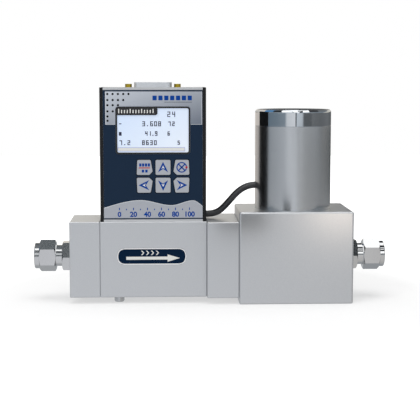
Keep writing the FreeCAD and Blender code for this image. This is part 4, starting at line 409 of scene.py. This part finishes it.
display_low, display_high = np.array(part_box("display_frame")) * 1000
notch_left = display_low[0] - DISPLAY_GAP
notch_right = display_high[0] + DISPLAY_GAP
notch_high = display_high[2] + DISPLAY_GAP
notch = rounded([(notch_left, display_low[2]), (notch_left, notch_high), (notch_right, notch_high),
                 (notch_right, display_low[2])], 2.2)
panel = np.concatenate([
    [(PANEL_LEFT, PANEL_LOW), (notch_left, PANEL_LOW)],
    notch[notch[:, 1] > PANEL_LOW],
    [(notch_right, PANEL_LOW), (PANEL_RIGHT, PANEL_LOW)],
    [(PANEL_RIGHT, PANEL_HIGH), (PANEL_LEFT, PANEL_HIGH)]])
print_on("overlay_upper_panel", film_front - 0.03, panel_ink, [panel])

# Dots: six rows of black dots that thin out downwards, printed on the silver.
# Each row has its height and its number of dots, which start at the left.
DOT_ROWS = [(141.08, 5), (137.1, 4), (133.67, 3), (129.6, 2), (126.2, 1), (123.33, 1)]
DOT_LEFT = -69.14
DOT_STEP = 3.51
DOT_RADIUS = 0.75
black_ink = ink("black screen print", ("#0E0F11", "#15161A"))
dots = [circle(DOT_LEFT + DOT_STEP * i, z, DOT_RADIUS) for z, count in DOT_ROWS for i in range(count)]
print_on("overlay_dots", film_front - 0.06, black_ink, dots)

# Lower silver panel: its top edge is a wave, given by points and the slope at each.
# The navy field shows below it as a thin dark line, which is painted shade: it stands for the shadow gap at
# the panel's foot.
WAVE = [(-72.1, 65.1, 0.3), (-47.5, 70.2, 0.0), (-26.95, 66.7, 0.0), (-12.4, 69.9, 0.0), (-5.95, 66.0, -0.9)]
LOWER_EDGE = 58.1


def wave(marks, steps=16):
    """A smooth line through marks with given slopes: a cubic between each two, by Hermite's formula."""
    marks = np.array(marks)
    x0, z0, s0 = marks[:-1].T[:, :, None]
    x1, z1, s1 = marks[1:].T[:, :, None]
    t = np.linspace(0, 1, steps)[None, :]
    run = x1 - x0
    z = ((2 * t ** 3 - 3 * t ** 2 + 1) * z0 + (t ** 3 - 2 * t ** 2 + t) * run * s0
         + (3 * t ** 2 - 2 * t ** 3) * z1 + (t ** 3 - t ** 2) * run * s1)
    x = x0 + t * run
    line = np.column_stack([x.ravel(), z.ravel()])
    return line[np.concatenate([[True], np.diff(line[:, 0]) > 1e-6])]


crest = wave(WAVE)
lower = np.concatenate([crest, [(WAVE[-1][0], LOWER_EDGE), (WAVE[0][0], LOWER_EDGE)]])
lower_ink = ink("silver screen print, even", ("#AEB2BB", "#B6BAC2"), 0.45, 0.3)
print_on("overlay_lower_panel", film_front - 0.03, lower_ink, [lower])

# Pale lines: a painted highlight, drawn thin along the crest and round the upper panel, but for its top.
# Its pale silver tone is painted light on the panels' edges, as a thin flat colour.
SIDE_LINE = 0.3
FOOT_LINE = 0.23
CREST_LINE = 0.38
painted_highlight_ink = ink("painted edge highlight in pale silver", ("#D8DCE2", "#E0E4E9"), 0.4, 0.2)
foot = PANEL_LOW + FOOT_LINE
painted_highlight_lines = [
    np.concatenate([crest, crest[::-1] - (0, CREST_LINE)]),
    rectangle(PANEL_LEFT, PANEL_LEFT + SIDE_LINE, PANEL_LOW, PANEL_HIGH),
    rectangle(PANEL_RIGHT - SIDE_LINE, PANEL_RIGHT, PANEL_LOW, PANEL_HIGH),
    rectangle(PANEL_LEFT + SIDE_LINE, notch_left - SIDE_LINE, PANEL_LOW, foot),
    rectangle(notch_right + SIDE_LINE, PANEL_RIGHT - SIDE_LINE, PANEL_LOW, foot)]
print_on("overlay_painted_highlight_lines", film_front - 0.05, painted_highlight_ink, painted_highlight_lines)

# Key borders: a thin line in navy ink round each key, from 0.99 to 1.13 of the key's own outline.
# The outer keys lean towards the middle one, and each has one corner cut off. A column has its middle
# and the side it lies on, a row its middle and whether it is above or below.
KEY_COLUMNS = [(-44.7, -1), (-32.4, 0), (-20.1, 1)]
KEY_ROWS = [(92.2, 1), (80.25, -1)]
KEY_HALF_HIGH = 5.0
MIDDLE_KEY_HALF_WIDE = 4.975
OUTER_KEY_HALF_WIDE = 5.3
LEAN_NEAR = 1.3
LEAN_FAR = 0.43
CUT_CORNER = 2.2
outlines = []
for z, row in KEY_ROWS:
    for x, column in KEY_COLUMNS:
        high = z + row * KEY_HALF_HIGH
        low = z - row * KEY_HALF_HIGH
        near = x - column * OUTER_KEY_HALF_WIDE
        far = x + column * OUTER_KEY_HALF_WIDE
        if column == 0:
            corners = rectangle(x - MIDDLE_KEY_HALF_WIDE, x + MIDDLE_KEY_HALF_WIDE,
                                z - KEY_HALF_HIGH, z + KEY_HALF_HIGH)
        else:
            corners = np.array([(near + column * LEAN_NEAR, high), (far - column * LEAN_FAR, high),
                                (far, low), (near + column * CUT_CORNER, low),
                                (near, low + row * CUT_CORNER)])
        middle = np.array([(x, z)])
        outlines.append((rounded(middle + (corners - middle) * 1.13, 1.3),
                         rounded(middle + (corners - middle) * 0.99, 1.0)))
dark_ink = ink("dark navy screen print", ("#0D1826", "#111D2C"))
print_on("key_borders", film_front - 0.03, dark_ink, rings=outlines)

# Key icons: four arrowheads, a crossed circle, and plain blocks over and under a red line, in blue ink
# with white middles and red marks over it. An arrow has its middle, and how far it is turned
# anticlockwise from pointing up.
ARROWS = [(-32.4, 92.2, 0), (-45.0, 80.25, 90), (-32.4, 80.25, 180), (-19.9, 80.25, 270)]
CROSS = (-19.9, 92.2)
BLOCK_STEP = 1.9
blue_ink = ink("blue screen print", ("#003C90", "#00449A"))
white_ink = ink("white screen print", ("#E6E7E4", "#EEEFEC"))
red_ink = ink("red screen print", ("#B8262C", "#C42F34"))


def turned(shape, x, z, degrees):
    """Points turned by an angle a about zero, x cos a - z sin a and x sin a + z cos a, and then moved."""
    turn = math.radians(degrees)
    spin = np.array([(math.cos(turn), math.sin(turn)), (-math.sin(turn), math.cos(turn))])
    return shape @ spin + (x, z)


def arrowhead(x, z, degrees, scale):
    """A notched arrowhead that points up, turned about its middle."""
    return turned(np.array([(0, 3.6), (-3.3, -3.2), (0, -1.0), (3.3, -3.2)]) * scale, x, z, degrees)


def bar(x, z, length, width, degrees):
    """A straight bar, turned about its middle."""
    return turned(rectangle(-length / 2, length / 2, -width / 2, width / 2), x, z, degrees)


icons = [arrowhead(*arrow, 1.04) for arrow in ARROWS]
icons += [bar(*CROSS, 5.6, 0.85, degrees) for degrees in (45, -45)]
icons += [rectangle(-48.3 + BLOCK_STEP * i, -46.8 + BLOCK_STEP * i, 92.8, 94.9) for i in range(4)]
icons += [rectangle(left, left + 1.6, 88.8, 90.7) for left in (-46.6, -44.3)]
print_on("key_icons", key_front - 0.03, blue_ink, icons,
         [(circle(*CROSS, 3.55, 40), circle(*CROSS, 2.8, 40))])
print_on("key_icon_middles", key_front - 0.05, white_ink,
         [arrowhead(*arrow, 0.33) for arrow in ARROWS])
print_on("key_red_marks", key_front - 0.07, red_ink,
         [rectangle(-48.6, -41.1, 91.6, 92.2), circle(CROSS[0] + 3.2, CROSS[1], 0.75, 16)])

# Blue marks on the silver: a row of squares at the top right over a thin line, and a plain scale below.
# The scale has a tick at each ten, longer at each twenty, and runs from 0 to 100.
SQUARE_STEP = 3.9
SCALE_LEFT = -61.75
SCALE_STEP = 4.7
TICK_HALF_WIDE = 0.3
squares = [rounded(rectangle(-39.2 + SQUARE_STEP * i, -36.4 + SQUARE_STEP * i, 136.9, 140.0), 0.35, 4)
           for i in range(7)]
ticks = [rectangle(SCALE_LEFT + SCALE_STEP * i - TICK_HALF_WIDE, SCALE_LEFT + SCALE_STEP * i + TICK_HALF_WIDE,
                   63.4, 64.4 if i % 2 else 65.1) for i in range(11)]
print_on("overlay_blue_marks", film_front - 0.06, blue_ink, squares + ticks)
print_on("overlay_grey_line", film_front - 0.06, black_ink,
         [rectangle(-31.4, -12.9, 135.55, 135.8)])


def stood_number(name, text, x, z, height, front, material, thicken):
    """A number in Blender's own plain typeface, made a mesh and stood up: X and Y become X and Z, and its
    face turns to the front. A figure is 0.7 as high as the size of its type."""
    letters = bpy.data.curves.new(name, "FONT")
    letters.body = text
    letters.align_x = "CENTER"
    letters.size = height * 1.43
    letters.offset = thicken
    letters.extrude = 0.03
    holder = show(name, letters)
    bpy.context.view_layer.update()
    mesh = bpy.data.meshes.new_from_object(holder.evaluated_get(bpy.context.evaluated_depsgraph_get()))
    bpy.data.objects.remove(holder)
    flat = np.empty(len(mesh.vertices) * 3)
    mesh.vertices.foreach_get("co", flat)
    flat = flat.reshape(-1, 3)
    depth = front + letters.extrude - flat[:, 2]
    spots = np.column_stack([flat[:, 0] + x, depth, flat[:, 1] + z - height / 2]) / 1000
    mesh.vertices.foreach_set("co", spots.ravel())
    mesh.materials.clear()
    mesh.materials.append(material)
    mesh.update()
    mesh.name = name
    piece = show(name, mesh)
    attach(piece, "meter")
    return piece


for index in range(6):
    stood_number("scale_number_%d" % index, str(20 * index), SCALE_LEFT + 2 * SCALE_STEP * index, 60.7, 3.3,
                 film_front - 0.06, blue_ink, 0.17)

# Display: a black frame with a tab over the screen's top left, and a grey display behind glass.
# Moulded glossy black frame. The screen is pale blue, lit from behind, under clear glass.
frame_gloss, tree, shader = finish("glossy black moulding", "#141516", 0.0, 0.25)
grain(tree, shader, 0.8, ("#121314", "#18191B"), (0.2, 0.3), 0.003)
dress(frame_gloss, "display_frame")

# The light behind the screen grows from its upper left, where the ramp is at 0, to its lower right
GLOW_LEFT = -64.3
GLOW_HIGH = 131.0
GLOW_WIDTH = 47.6
GLOW_HEIGHT = 34.5
screen_glass, tree, shader = finish("lit screen under glass", "#D4E4FA", 0.0, 0.3,
                                    Coat_Weight=0.3, Coat_Roughness=0.05, Emission_Strength=0.17)
place = add(tree, "TexCoord")
centre = add(tree, "Mapping", [("Location", (-GLOW_LEFT / GLOW_WIDTH, 0, GLOW_HIGH / GLOW_HEIGHT)),
                               ("Scale", (1000 / GLOW_WIDTH, 1, -1000 / GLOW_HEIGHT))],
             [("Vector", place.outputs["Object"])])
apart = add(tree, "SeparateXYZ", [], [("Vector", centre.outputs[0])])
slope = add(tree, "Math", [], [(0, apart.outputs["X"]), (1, apart.outputs["Z"])], operation="ADD")
half = add(tree, "Math", [(1, 0.5)], [(0, slope.outputs[0])], operation="MULTIPLY")
light = add(tree, "ValToRGB", [], [("Fac", half.outputs[0])])
light.color_ramp.elements[0].color = linear("#CFE1FB")
light.color_ramp.elements[1].color = linear("#E9F1FC")
tree.links.new(light.outputs["Color"], shader.inputs["Base Color"])
tree.links.new(light.outputs["Color"], shader.inputs["Emission Color"])
dress(screen_glass, "display_module")

# Screen figures: plain numbers built of seven straight bars each, as a segment display draws them.
# Each row has its figures, its left end, its middle height, the height of a figure and the step.
BARS = {"0": "abcdef", "1": "bc", "2": "abged", "3": "abgcd", "4": "fgbc", "5": "afgcd", "6": "afgedc",
        "7": "abc", "8": "abcdefg", "9": "abcdfg", "-": "g", ".": "."}
ROWS = [("24", -29.4, 127.6, 3.6, 3.2), ("3.608", -46.1, 121.3, 3.3, 2.65), ("72", -28.8, 121.3, 3.0, 2.6),
        ("-", -61.6, 121.3, 3.0, 2.6), ("41.9", -44.3, 114.8, 3.0, 2.2), ("6", -29.3, 114.8, 2.8, 2.4),
        ("7.2", -61.4, 108.7, 3.2, 2.7), ("8630", -46.3, 108.7, 3.2, 2.65), ("5", -22.6, 108.7, 2.8, 2.4)]
BAR_WIDTH = 0.56
POINT_WIDTH = 0.7
POINT_GAP = 0.5
FIGURE_SHARE = 0.56
screen_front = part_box("display_module")[0][1] * 1000


def figures(text, x, z, height, advance):
    """Rectangles for a row of figures whose left end is at x and middle at z, each as wide as a share of
    its height. Bar a is the top, g the middle, d the foot, f and b the upper and e and c the lower
    sides."""
    made = []
    wide = height * FIGURE_SHARE
    for index, sign in enumerate(text):
        left = x + advance * index
        right = left + wide
        low = z - height / 2
        high = z + height / 2
        strokes = {
            "a": (left, right, high - BAR_WIDTH, high), "d": (left, right, low, low + BAR_WIDTH),
            "g": (left, right, z - BAR_WIDTH / 2, z + BAR_WIDTH / 2),
            "f": (left, left + BAR_WIDTH, z, high), "e": (left, left + BAR_WIDTH, low, z),
            "b": (right - BAR_WIDTH, right, z, high), "c": (right - BAR_WIDTH, right, low, z),
            ".": (left + POINT_GAP, left + POINT_GAP + POINT_WIDTH, low, low + POINT_WIDTH)}
        made += [rectangle(*strokes[stroke]) for stroke in BARS[sign]]
    return made


segments = [segment for row in ROWS for segment in figures(*row)]
segments.append(rectangle(-61.7, -59.9, 113.4, 115.9))
segment_ink = ink("dark display segments", ("#2A2C42", "#32344B"))
print_on("screen_figures", screen_front - 0.03, segment_ink, segments)

# Screen bar along the foot of the screen, and a row of ticks on the frame's tab.
# The bar is a pale line round a white middle, and the ticks are printed white.
TICK_STEP = 1.9
bar_outside = rectangle(-62.6, -17.6, 102.9, 105.6)
bar_inside = rectangle(-62.3, -17.9, 103.2, 105.3)
bar_ink = ink("pale display segments", ("#A9B2DC", "#B3BBE2"))
print_on("screen_bar", screen_front - 0.03, bar_ink, rings=[(bar_outside, bar_inside)])
print_on("screen_bar_middle", screen_front - 0.02, white_ink, [bar_inside])
print_on("tab_ticks", display_low[1] - 0.03, white_ink,
         [rectangle(-62.0 + TICK_STEP * i, -61.3 + TICK_STEP * i, 128.4, 130.6 if i % 4 else 131.2)
          for i in range(13)])

# Flow label: a navy pill on the sensor block with a pale line round it and an arrow with the flow.
# Printed polyester with an adhesive back.
LABEL_ROUND = 5.5
INNER_ROUND = 4.95
LABEL_LINE = 0.6
ARROW_MIDDLE = 31.0
ARROW_TAIL = -57.4
ARROW_NECK = -29.6
ARROW_TIP = -21.3
SHAFT_HALF = 1.05
HEAD_HALF = 2.5
CHEVRON_STEP = 3.3
label_film, tree, shader = finish("printed polyester label", "#071F38", 0.0, 0.45, Specular_IOR_Level=0.04)
grain(tree, shader, 0.5, ("#061C34", "#0A233D"), (0.4, 0.5), 0.001)
dress(label_film, "flow_label")
low, high = np.array(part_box("flow_label")) * 1000
label_print = low[1] - 0.03
pill = rounded(rectangle(low[0], high[0], low[2], high[2]), LABEL_ROUND, 12)
inner_pill = rounded(rectangle(low[0] + LABEL_LINE, high[0] - LABEL_LINE, low[2] + LABEL_LINE,
                               high[2] - LABEL_LINE), INNER_ROUND, 12)
label_line = ink("pale grey screen print", ("#F0F1F3", "#F8F9FA"))
print_on("label_border", label_print, label_line, rings=[(pill, inner_pill)])
half_arrow = np.array([(ARROW_TAIL, SHAFT_HALF), (ARROW_NECK, SHAFT_HALF), (ARROW_NECK, HEAD_HALF)])
arrow = np.concatenate([half_arrow * (1, -1), [(ARROW_TIP, 0)], half_arrow[::-1]]) + (0, ARROW_MIDDLE)
chevron = np.array([(0, 0), (0.9, 0), (2.3, 1.5), (0.9, 3.0), (0, 3.0), (1.4, 1.5)])
chevrons = [chevron + (-47.5 + CHEVRON_STEP * i, 33.1) for i in range(4)]
print_on("label_arrow", label_print, white_ink, [arrow] + chevrons)

# Connector on the top cover: a steel shell, a black insert with fifteen contacts and two jackposts.
# Tin plated drawn steel, glass filled polyester and turned brass.
tin_plate, tree, shader = finish("tin plated drawn steel", "#D8DBDF", 0.6, 0.35)
grain(tree, shader, 0.6, ("#D4D7DC", "#DCDFE2"), (0.3, 0.42), 0.002)
dress(tin_plate, "dsub_shell")
insert_plastic, tree, shader = finish("glass filled polyester", "#1A1B1D", 0.0, 0.5)
grain(tree, shader, 0.4, ("#17181A", "#202123"), (0.45, 0.6), 0.006)
dress(insert_plastic, "dsub_insert")
turned_brass, tree, shader = finish("turned brass", "#B8A02E", 1.0, 0.3)
grain(tree, shader, 0.3, ("#A89028", "#C4AD3C"), (0.25, 0.38), 0.003, (6, 6, 0.5))
dress(turned_brass, "dsub_jackposts")

# Contacts of the connector: fifteen turned sockets in two rows, eight behind and seven in front.
# Bronze under gold plate.
SOCKET_STEP = 2.77
ROW_OFFSET = 1.42
SOCKET_BORE = 0.34
SOCKET_RADIUS = 0.52
SOCKET_FOOT = 145.2
SOCKET_TOP = 148.0


def sleeves(name, centres, profile, material, around=16):
    """Turned rings: a closed profile of radius and height is carried round each centre's upright axis,
    x = centre + radius times cosine, y = centre + radius times sine."""
    centres = np.asarray(centres)[:, None, None, :]
    angle = np.linspace(0, 2 * np.pi, around, endpoint=False)[None, :, None]
    radius, height = np.asarray(profile).T[:, None, None, :]
    x = centres[..., 0] + radius * np.cos(angle)
    y = centres[..., 1] + radius * np.sin(angle)
    z = height + 0 * x
    index = np.arange(x.size).reshape(x.shape)
    next_round = np.roll(index, -1, axis=1)
    next_step = np.roll(index, -1, axis=2)
    both = np.roll(next_round, -1, axis=2)
    quads = np.stack([index, next_round, both, next_step], axis=-1).reshape(-1, 4)
    piece = mesh_piece(name, np.stack([x, y, z], axis=-1) / 1000, quads.tolist(), material)
    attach(piece, "meter")
    return piece


low, high = np.array(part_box("dsub_insert")) * 1000
middle = (low[0] + high[0]) / 2
contacts = [(middle + SOCKET_STEP * (i - (count - 1) / 2), y)
            for count, y in ((8, ROW_OFFSET), (7, -ROW_OFFSET)) for i in range(count)]
socket = [(SOCKET_BORE, SOCKET_FOOT), (SOCKET_RADIUS, SOCKET_FOOT), (SOCKET_RADIUS, SOCKET_TOP),
          (SOCKET_BORE, SOCKET_TOP)]
gold_plate, tree, shader = finish("gold plated bronze", "#D9B25A", 1.0, 0.22)
grain(tree, shader, 0.2, ("#CFA650", "#E2BE6A"), (0.18, 0.28), 0.001)
sleeves("connector_contacts", contacts, socket, gold_plate)

# Floor: a pale studio floor, painted matt, that keeps the object's soft shadow.
# It is lifted towards white for the camera alone, and fully a third of a metre from the object.
# Its sizes are in metres.
FLOOR_HALF = 1.5
FLOOR_SPECK = 1 / 60
LIFT_NEAR = 0.15
LIFT_FAR = 0.32
floor_paint, tree, shader = finish("matt white floor paint", "#B4B4B4", 0.0, 0.9, Specular_IOR_Level=0.0)
place = add(tree, "TexCoord")
speck = add(tree, "TexNoise", [("Scale", 1 / FLOOR_SPECK)], [("Vector", place.outputs["Object"])])
shade = add(tree, "ValToRGB", [], [("Fac", speck.outputs["Fac"])])
shade.color_ramp.elements[0].color = linear("#B3B3B3")
shade.color_ramp.elements[1].color = linear("#B5B5B5")
tree.links.new(shade.outputs["Color"], shader.inputs["Base Color"])
away = add(tree, "VectorMath", [], [("Vector", place.outputs["Object"])], operation="LENGTH")
rising = add(tree, "MapRange", [("From Min", LIFT_NEAR), ("From Max", LIFT_FAR), ("To Min", 0.5)],
             [("Value", away.outputs["Value"])])
seen = add(tree, "LightPath")
strength = add(tree, "Math", [], [(0, rising.outputs["Result"]), (1, seen.outputs["Is Camera Ray"])],
               operation="MULTIPLY")
lift = add(tree, "Emission", [("Color", (1, 1, 1, 1))], [("Strength", strength.outputs[0])])
both = add(tree, "AddShader", [], [(0, shader.outputs[0]), (1, lift.outputs[0])])
tree.links.new(both.outputs[0], tree.nodes["Material Output"].inputs["Surface"])
floor = mesh_piece("floor", [(-FLOOR_HALF, -FLOOR_HALF, 0), (FLOOR_HALF, -FLOOR_HALF, 0),
                             (FLOOR_HALF, FLOOR_HALF, 0), (-FLOOR_HALF, FLOOR_HALF, 0)],
                   [(0, 1, 2, 3)], floor_paint)
floor.visible_glossy = False

# World: white behind the object, and the light and dark panels of a studio round it, as colours by
# direction, which metal shows in its mirror bands. All other rays see an even, dimmer white.
world = bpy.data.worlds.new("studio")
bpy.context.scene.world = world
world.use_nodes = True
tree = world.node_tree
tree.nodes.clear()
place = add(tree, "TexCoord")
apart = add(tree, "SeparateXYZ", [], [("Vector", place.outputs["Generated"])])
toward = add(tree, "Math", [(1, -1.0)], [(0, apart.outputs["Y"])], operation="MULTIPLY")


def stops(fac, marks, constant=False):
    """A colour ramp over an angle of -180 to 180 degrees, with marks of degrees and sRGB hex."""
    ramp = add(tree, "ValToRGB", [], [("Fac", fac)])
    line = ramp.color_ramp
    line.interpolation = "CONSTANT" if constant else "LINEAR"
    while len(line.elements) > 1:
        line.elements.remove(line.elements[-1])
    for index, (degrees, code) in enumerate(marks):
        spot = (degrees + 180) / 360
        element = line.elements[0] if index == 0 else line.elements.new(spot)
        element.position = spot
        element.color = linear(code)
    return ramp.outputs["Color"]


def angle_of(first, second):
    """The angle of two direction components, as 0 to 1 for -180 to 180 degrees."""
    turn = add(tree, "Math", [], [(0, first), (1, second)], operation="ARCTAN2")
    span = add(tree, "MapRange", [("From Min", -math.pi), ("From Max", math.pi)],
               [("Value", turn.outputs[0])])
    return span.outputs["Result"]


def between(low, high, socket, first, second):
    """A colour that goes from the first to the second as a direction component goes from low to high."""
    share = add(tree, "MapRange", [("From Min", low), ("From Max", high)], [("Value", socket)])
    return add(tree, "Mix", [], [("Factor", share.outputs["Result"]), ("A", first), ("B", second)],
               data_type="RGBA").outputs["Result"]


# Round the horizon, from behind on the left (-180) past the front (0) to behind on the right (180).
# Three heights: level with the cap, level with the can, and below, which the blocks' fronts mirror.
heading = angle_of(apart.outputs["X"], toward.outputs[0])
cap_height = stops(heading, [
    (-180, "#E2D8CF"), (-124, "#E2D8CF"), (-121, "#1B1B1A"), (-98, "#1B1B1A"), (-95, "#6A7B89"),
    (-55, "#7E8C97"), (-31, "#8E9AA4"), (-24, "#E8EAED"), (0, "#F6F7FA"), (1.5, "#5A5E62"), (4, "#5A5E62"),
    (5.5, "#DEE5EC"), (21, "#D4DAE0"), (27, "#646769"), (50, "#686A6C"), (54, "#7A7C7E"), (85, "#727476"),
    (120, "#7C7E80"), (155, "#5E6062"), (180, "#A09C98")])
can_height = stops(heading, [
    (-180, "#DCD3CB"), (-140, "#D4CBC4"), (-124, "#666668"), (-113, "#58595B"), (-103, "#868A8E"),
    (-92, "#969CA1"), (-78, "#949AA0"), (-60, "#8E949B"), (-32, "#A8ADB4"), (-15, "#DCE0E5"), (1, "#DADDE1"),
    (18, "#8A8E91"), (45, "#5C5F61"), (90, "#585B5E"), (125, "#5E6163"), (160, "#5A5D5F"), (180, "#A09C98")])
below = stops(heading, [
    (-180, "#BCBFC2"), (-120, "#CDCFD1"), (-60, "#D8D9DB"), (-5.4, "#EFF0F4"), (-4.8, "#F9FAFF"),
    (0, "#F8FAFF"), (9.5, "#F0EFEF"), (11, "#E2E0DF"), (40, "#D6D4D2"), (120, "#CACBCC"),
    (180, "#A4A9AE")])
# Over the top, from the front horizon (0) to the rear one (180): what the fittings at the left and at
# the right end mirror in stripes, and between them what the tops of the blocks mirror evenly
rise = angle_of(apart.outputs["Z"], toward.outputs[0])
over_left = stops(rise, [
    (-180, "#A0A2A4"), (-2, "#4C5154"), (10, "#B8BABC"), (30, "#484D50"), (55, "#FFFFFF"), (74, "#585D60"),
    (150, "#B9B5AE")], True)
over_flat = stops(rise, [
    (-180, "#A0A2A4"), (-2, "#B4B8BC"), (12, "#6E757B"), (150, "#AEAAA3"), (176.2, "#3A3C3E")], True)
over_right = stops(rise, [
    (-180, "#A0A2A4"), (-2, "#34383C"), (7, "#FFFFFF"), (27, "#24282B"), (41, "#FFFFFF"), (47, "#24282B"),
    (56, "#FFFFFF"), (63, "#24282B"), (85, "#FFFFFF"), (120, "#24282B"), (150, "#4A4A49")], True)
# Two panels stand over the cap, and its rounded edge mirrors each as a window with upright sides
aside = add(tree, "Math", [(1, 0.118)], [(0, apart.outputs["X"])], operation="SUBTRACT")
ahead = add(tree, "Math", [(1, 0.992)], [(0, toward.outputs[0])], operation="ADD")
over_edge = stops(angle_of(aside.outputs[0], ahead.outputs[0]), [
    (-180, "#B9B2AA"), (-55, "#4A7296"), (-39, "#2A2D30"), (-25, "#FFFFFF"), (1, "#1E2022"), (7.5, "#FFFFFF"),
    (18, "#38393B"), (34, "#606264"), (60, "#46484A"), (100, "#8A8B8D")], True)
# Each step below gives the directions on one side of a height, a depth or a width their own colours
over_high = between(0.35, 0.4, apart.outputs["Z"], over_flat, over_edge)
over_middle = between(-0.93, -0.9, toward.outputs[0], over_flat, over_high)
over_near = between(-0.06, -0.056, apart.outputs["X"], over_left, over_middle)
over_side = between(-0.13, -0.12, apart.outputs["X"], over_middle, over_near)
over_end = between(0.125, 0.14, apart.outputs["X"], over_side, over_right)
over_dim = between(0.23, 0.24, apart.outputs["X"], over_end, over_middle)
# The panels overhead are brighter than white, so that polished steel shows them white
PANEL_STRENGTH = 1.8
over = add(tree, "VectorMath", [("Scale", PANEL_STRENGTH)], [(0, over_dim)], operation="SCALE").outputs[0]
level = between(-0.046, -0.042, apart.outputs["Z"], can_height, cap_height)
lower = between(-0.125, -0.105, apart.outputs["Z"], below, level)
mirror = between(-0.013, -0.011, apart.outputs["Z"], lower, over)
mirrored = add(tree, "Background", [("Strength", 1.0)], [("Color", mirror)])
soft = add(tree, "Background", [("Color", (1, 1, 1, 1)), ("Strength", 0.62)])
white = add(tree, "Background", [("Color", (1, 1, 1, 1)), ("Strength", 1.0)])
seen = add(tree, "LightPath")
first = add(tree, "MixShader", [], [(0, seen.outputs["Is Glossy Ray"]), (1, soft.outputs[0]),
                                    (2, mirrored.outputs[0])])
second = add(tree, "MixShader", [], [(0, seen.outputs["Is Camera Ray"]), (1, first.outputs[0]),
                                     (2, white.outputs[0])])
add(tree, "OutputWorld", [], [("Surface", second.outputs[0])])

# Lamps: two square soft boxes, one overhead and one from the front left, unseen in mirrors.
# They give the plain level of light and the soft shadows on the floor.


def lamp(name, place, aim, size, power):
    """A square soft lamp at a place, turned to an aim: down by the angle of its flat way to its fall, and
    round by the angle of its way in X to its way in Y."""
    light = bpy.data.lights.new(name, "AREA")
    light.size = size
    light.energy = power
    made = show(name, light)
    way = np.array(aim) - np.array(place)
    flat = math.hypot(way[0], way[1])
    made.location = place
    made.rotation_euler = (math.atan2(flat, -way[2]), 0, -math.atan2(way[0], way[1]))
    made.visible_glossy = False
    return made


lamp("overhead", (0.0, -0.1, 1.2), (0.0, 0.0, 0.06), 1.0, 7.0)
lamp("front_left", (-0.9, -1.2, 0.8), (0.0, 0.0, 0.07), 0.9, 8.0)

# A small lamp close to the valve block, which alone mirrors it, as a soft glow at its upper right
glow = lamp("valve_block_glow", (0.108, -0.176, 0.054), (0.086, -0.0285, 0.072), 0.04, 0.0098)
glow.visible_glossy = True
glow.visible_diffuse = False
glow.visible_camera = False
glow.data.color = (1.0, 0.84, 0.68)
lit = bpy.data.collections.new("lit_by_glow")
lit.objects.link(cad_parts["valve_block"])
glow.light_linking.receiver_collection = lit

# A small black flag before the valve block, which mirrors it as a soft dark patch at its upper left
flag_cloth, tree, shader = finish("black woven cloth", "#050505", 0.0, 1.0, Specular_IOR_Level=0.0)
grain(tree, shader, 1.0, ("#040404", "#070707"), (0.95, 1.0), 0.01)
flag_outline = rectangle(0.006, 0.041, 0.042, 0.0605)
flag = mesh_piece("flag", stood_up(flag_outline, -0.0885), [(0, 1, 2, 3)], flag_cloth)
flag.visible_camera = False
flag.visible_diffuse = False
flag.visible_shadow = False

# Camera: level with the top of the object and a little left of its middle, with a long lens
DEGREES_DOWN = 6.422
DEGREES_RIGHT = 2.360
lens = bpy.data.cameras.new("camera")
lens.sensor_width = 36
lens.lens = 99.065
camera = show("camera", lens)
camera.location = (-0.03277, -0.79314, 0.15037)
camera.rotation_euler = (math.radians(90 - DEGREES_DOWN), 0, math.radians(-DEGREES_RIGHT))
bpy.context.scene.camera = camera
bpy.context.scene.view_settings.view_transform = "Standard"
